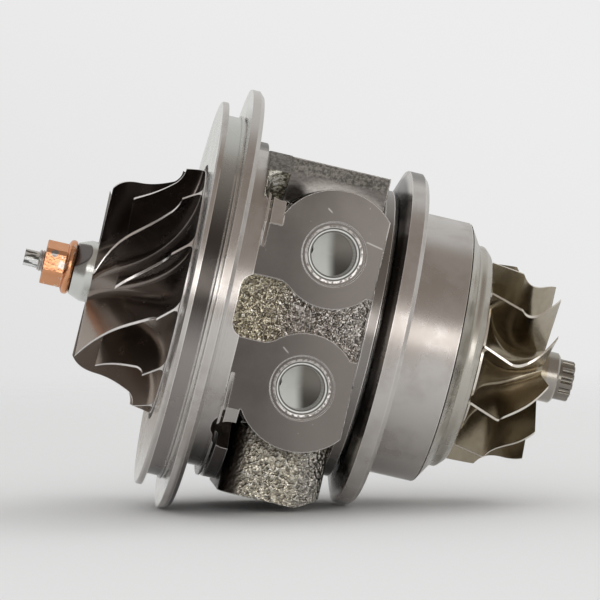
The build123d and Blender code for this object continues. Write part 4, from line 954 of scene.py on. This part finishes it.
def layFloor():
    # A tilted disc that the object lies on: points = rings * (cos, sin) of the angle, fading out
    # towards its edge and seen from above only.
    c = studio
    count = 96
    turns = np.arange(count) * 2 * np.pi / count
    rings = np.array([0.001, 0.25, 0.5, 0.75, 1.0]) * c["floorRadius"]
    flat = np.stack([np.outer(rings, np.cos(turns)), np.outer(rings, np.sin(turns)),
                     np.zeros((len(rings), count))], -1)
    tilt = np.array(Matrix.Rotation(-math.radians(c["floorTilt"]), 3, "Y"))
    centre = np.array(c["floorTouch"]) + tilt @ np.array([c["floorShift"], 0.0, 0.0])
    points = (flat.reshape(-1, 3) @ tilt.T + centre) * mm
    i, j = np.meshgrid(np.arange(len(rings) - 1), np.arange(count), indexing="ij")
    k = (j + 1) % count
    faces = np.stack([i * count + j, (i + 1) * count + j, (i + 1) * count + k, i * count + k], -1)
    mesh = bpy.data.meshes.new("floor")
    mesh.from_pydata(points.tolist(), [], faces.reshape(-1, 4).tolist())
    floor = bpy.data.objects.new("floor", mesh)
    bpy.context.scene.collection.objects.link(floor)

    f = Finish("pale floor")
    away = vectorMaths("DISTANCE", f.point, tuple(centre), "Value")
    fade = rise(away, *[share * c["floorRadius"] for share in c["floorFade"]])
    under = f.start.node("ShaderNodeNewGeometry", {}, {}, "Backfacing")
    clear = f.start.node("ShaderNodeBsdfTransparent", {}, {})
    matt = f.start.node("ShaderNodeBsdfDiffuse", {}, {"Color": c["floorColour"]})
    both = f.start.node("ShaderNodeMixShader", {}, {0: most(fade, under), 1: matt, 2: clear})
    f.start.node("ShaderNodeOutputMaterial", {}, {"Surface": both})
    mesh.materials.append(f.material)


def lightStudio():
    c = studio
    world = bpy.data.worlds.new("studio")
    bpy.context.scene.world = world
    world.use_nodes = True
    world.node_tree.nodes.clear()
    start = Value(world.node_tree)
    direction = start.node("ShaderNodeTexCoord", {}, {}, "Generated")
    parts = start.node("ShaderNodeSeparateXYZ", {}, {0: direction}).socket.node
    x, y, z = [Value(start.tree, parts.outputs[i]) for i in range(3)]
    height = z.maths("ARCTAN2", z, y * -1)   # 0 at the camera, half a turn behind the object
    rays = start.node("ShaderNodeLightPath", {}, {}).socket.node
    seen, glossy, through = [Value(start.tree, rays.outputs[kind]) for kind in
                             ("Is Camera Ray", "Is Glossy Ray", "Is Transmission Ray")]
    sides = mixColours(rise(x, 0.3, 0.7), c["frontColour"], c["rightColour"])
    sides = mixColours(rise(x, -0.75, -0.2), c["leftColour"], sides)
    room = mixColours(rise(height, 1.6, 2.0), sides, c["roomColour"])
    tone = mixColours(most(glossy, through), c["fillColour"], room)
    roll = math.radians(c["roll"])
    up = x * math.sin(roll) + z * math.cos(roll)   # as the rolled camera sees it
    pale = mixColours(rise(up, -0.12, 0.13), c["lowColour"], c["paleColour"])
    sockets = {"Color": mixColours(seen, tone, pale), "Strength": 1.0}
    background = start.node("ShaderNodeBackground", {}, sockets)
    start.node("ShaderNodeOutputWorld", {}, {"Surface": background})
    for name, (place, width, tall, power, mirrored) in c["lamps"].items():
        data = bpy.data.lights.new(name, "AREA")
        data.shape = "RECTANGLE"
        data.size = width * mm
        data.size_y = tall * mm
        data.energy = power
        lamp = bpy.data.objects.new(name, data)
        aim = (Vector(c["lampAim"]) - Vector(place)).to_track_quat("-Z", "Y").to_matrix().to_4x4()
        lamp.matrix_world = Matrix.Translation(Vector(place) * mm) @ aim
        lamp.visible_glossy = mirrored
        bpy.context.scene.collection.objects.link(lamp)


placeCamera()
layFloor()
lightStudio()
bpy.context.scene.view_settings.view_transform = "Standard"
print("studio ready")
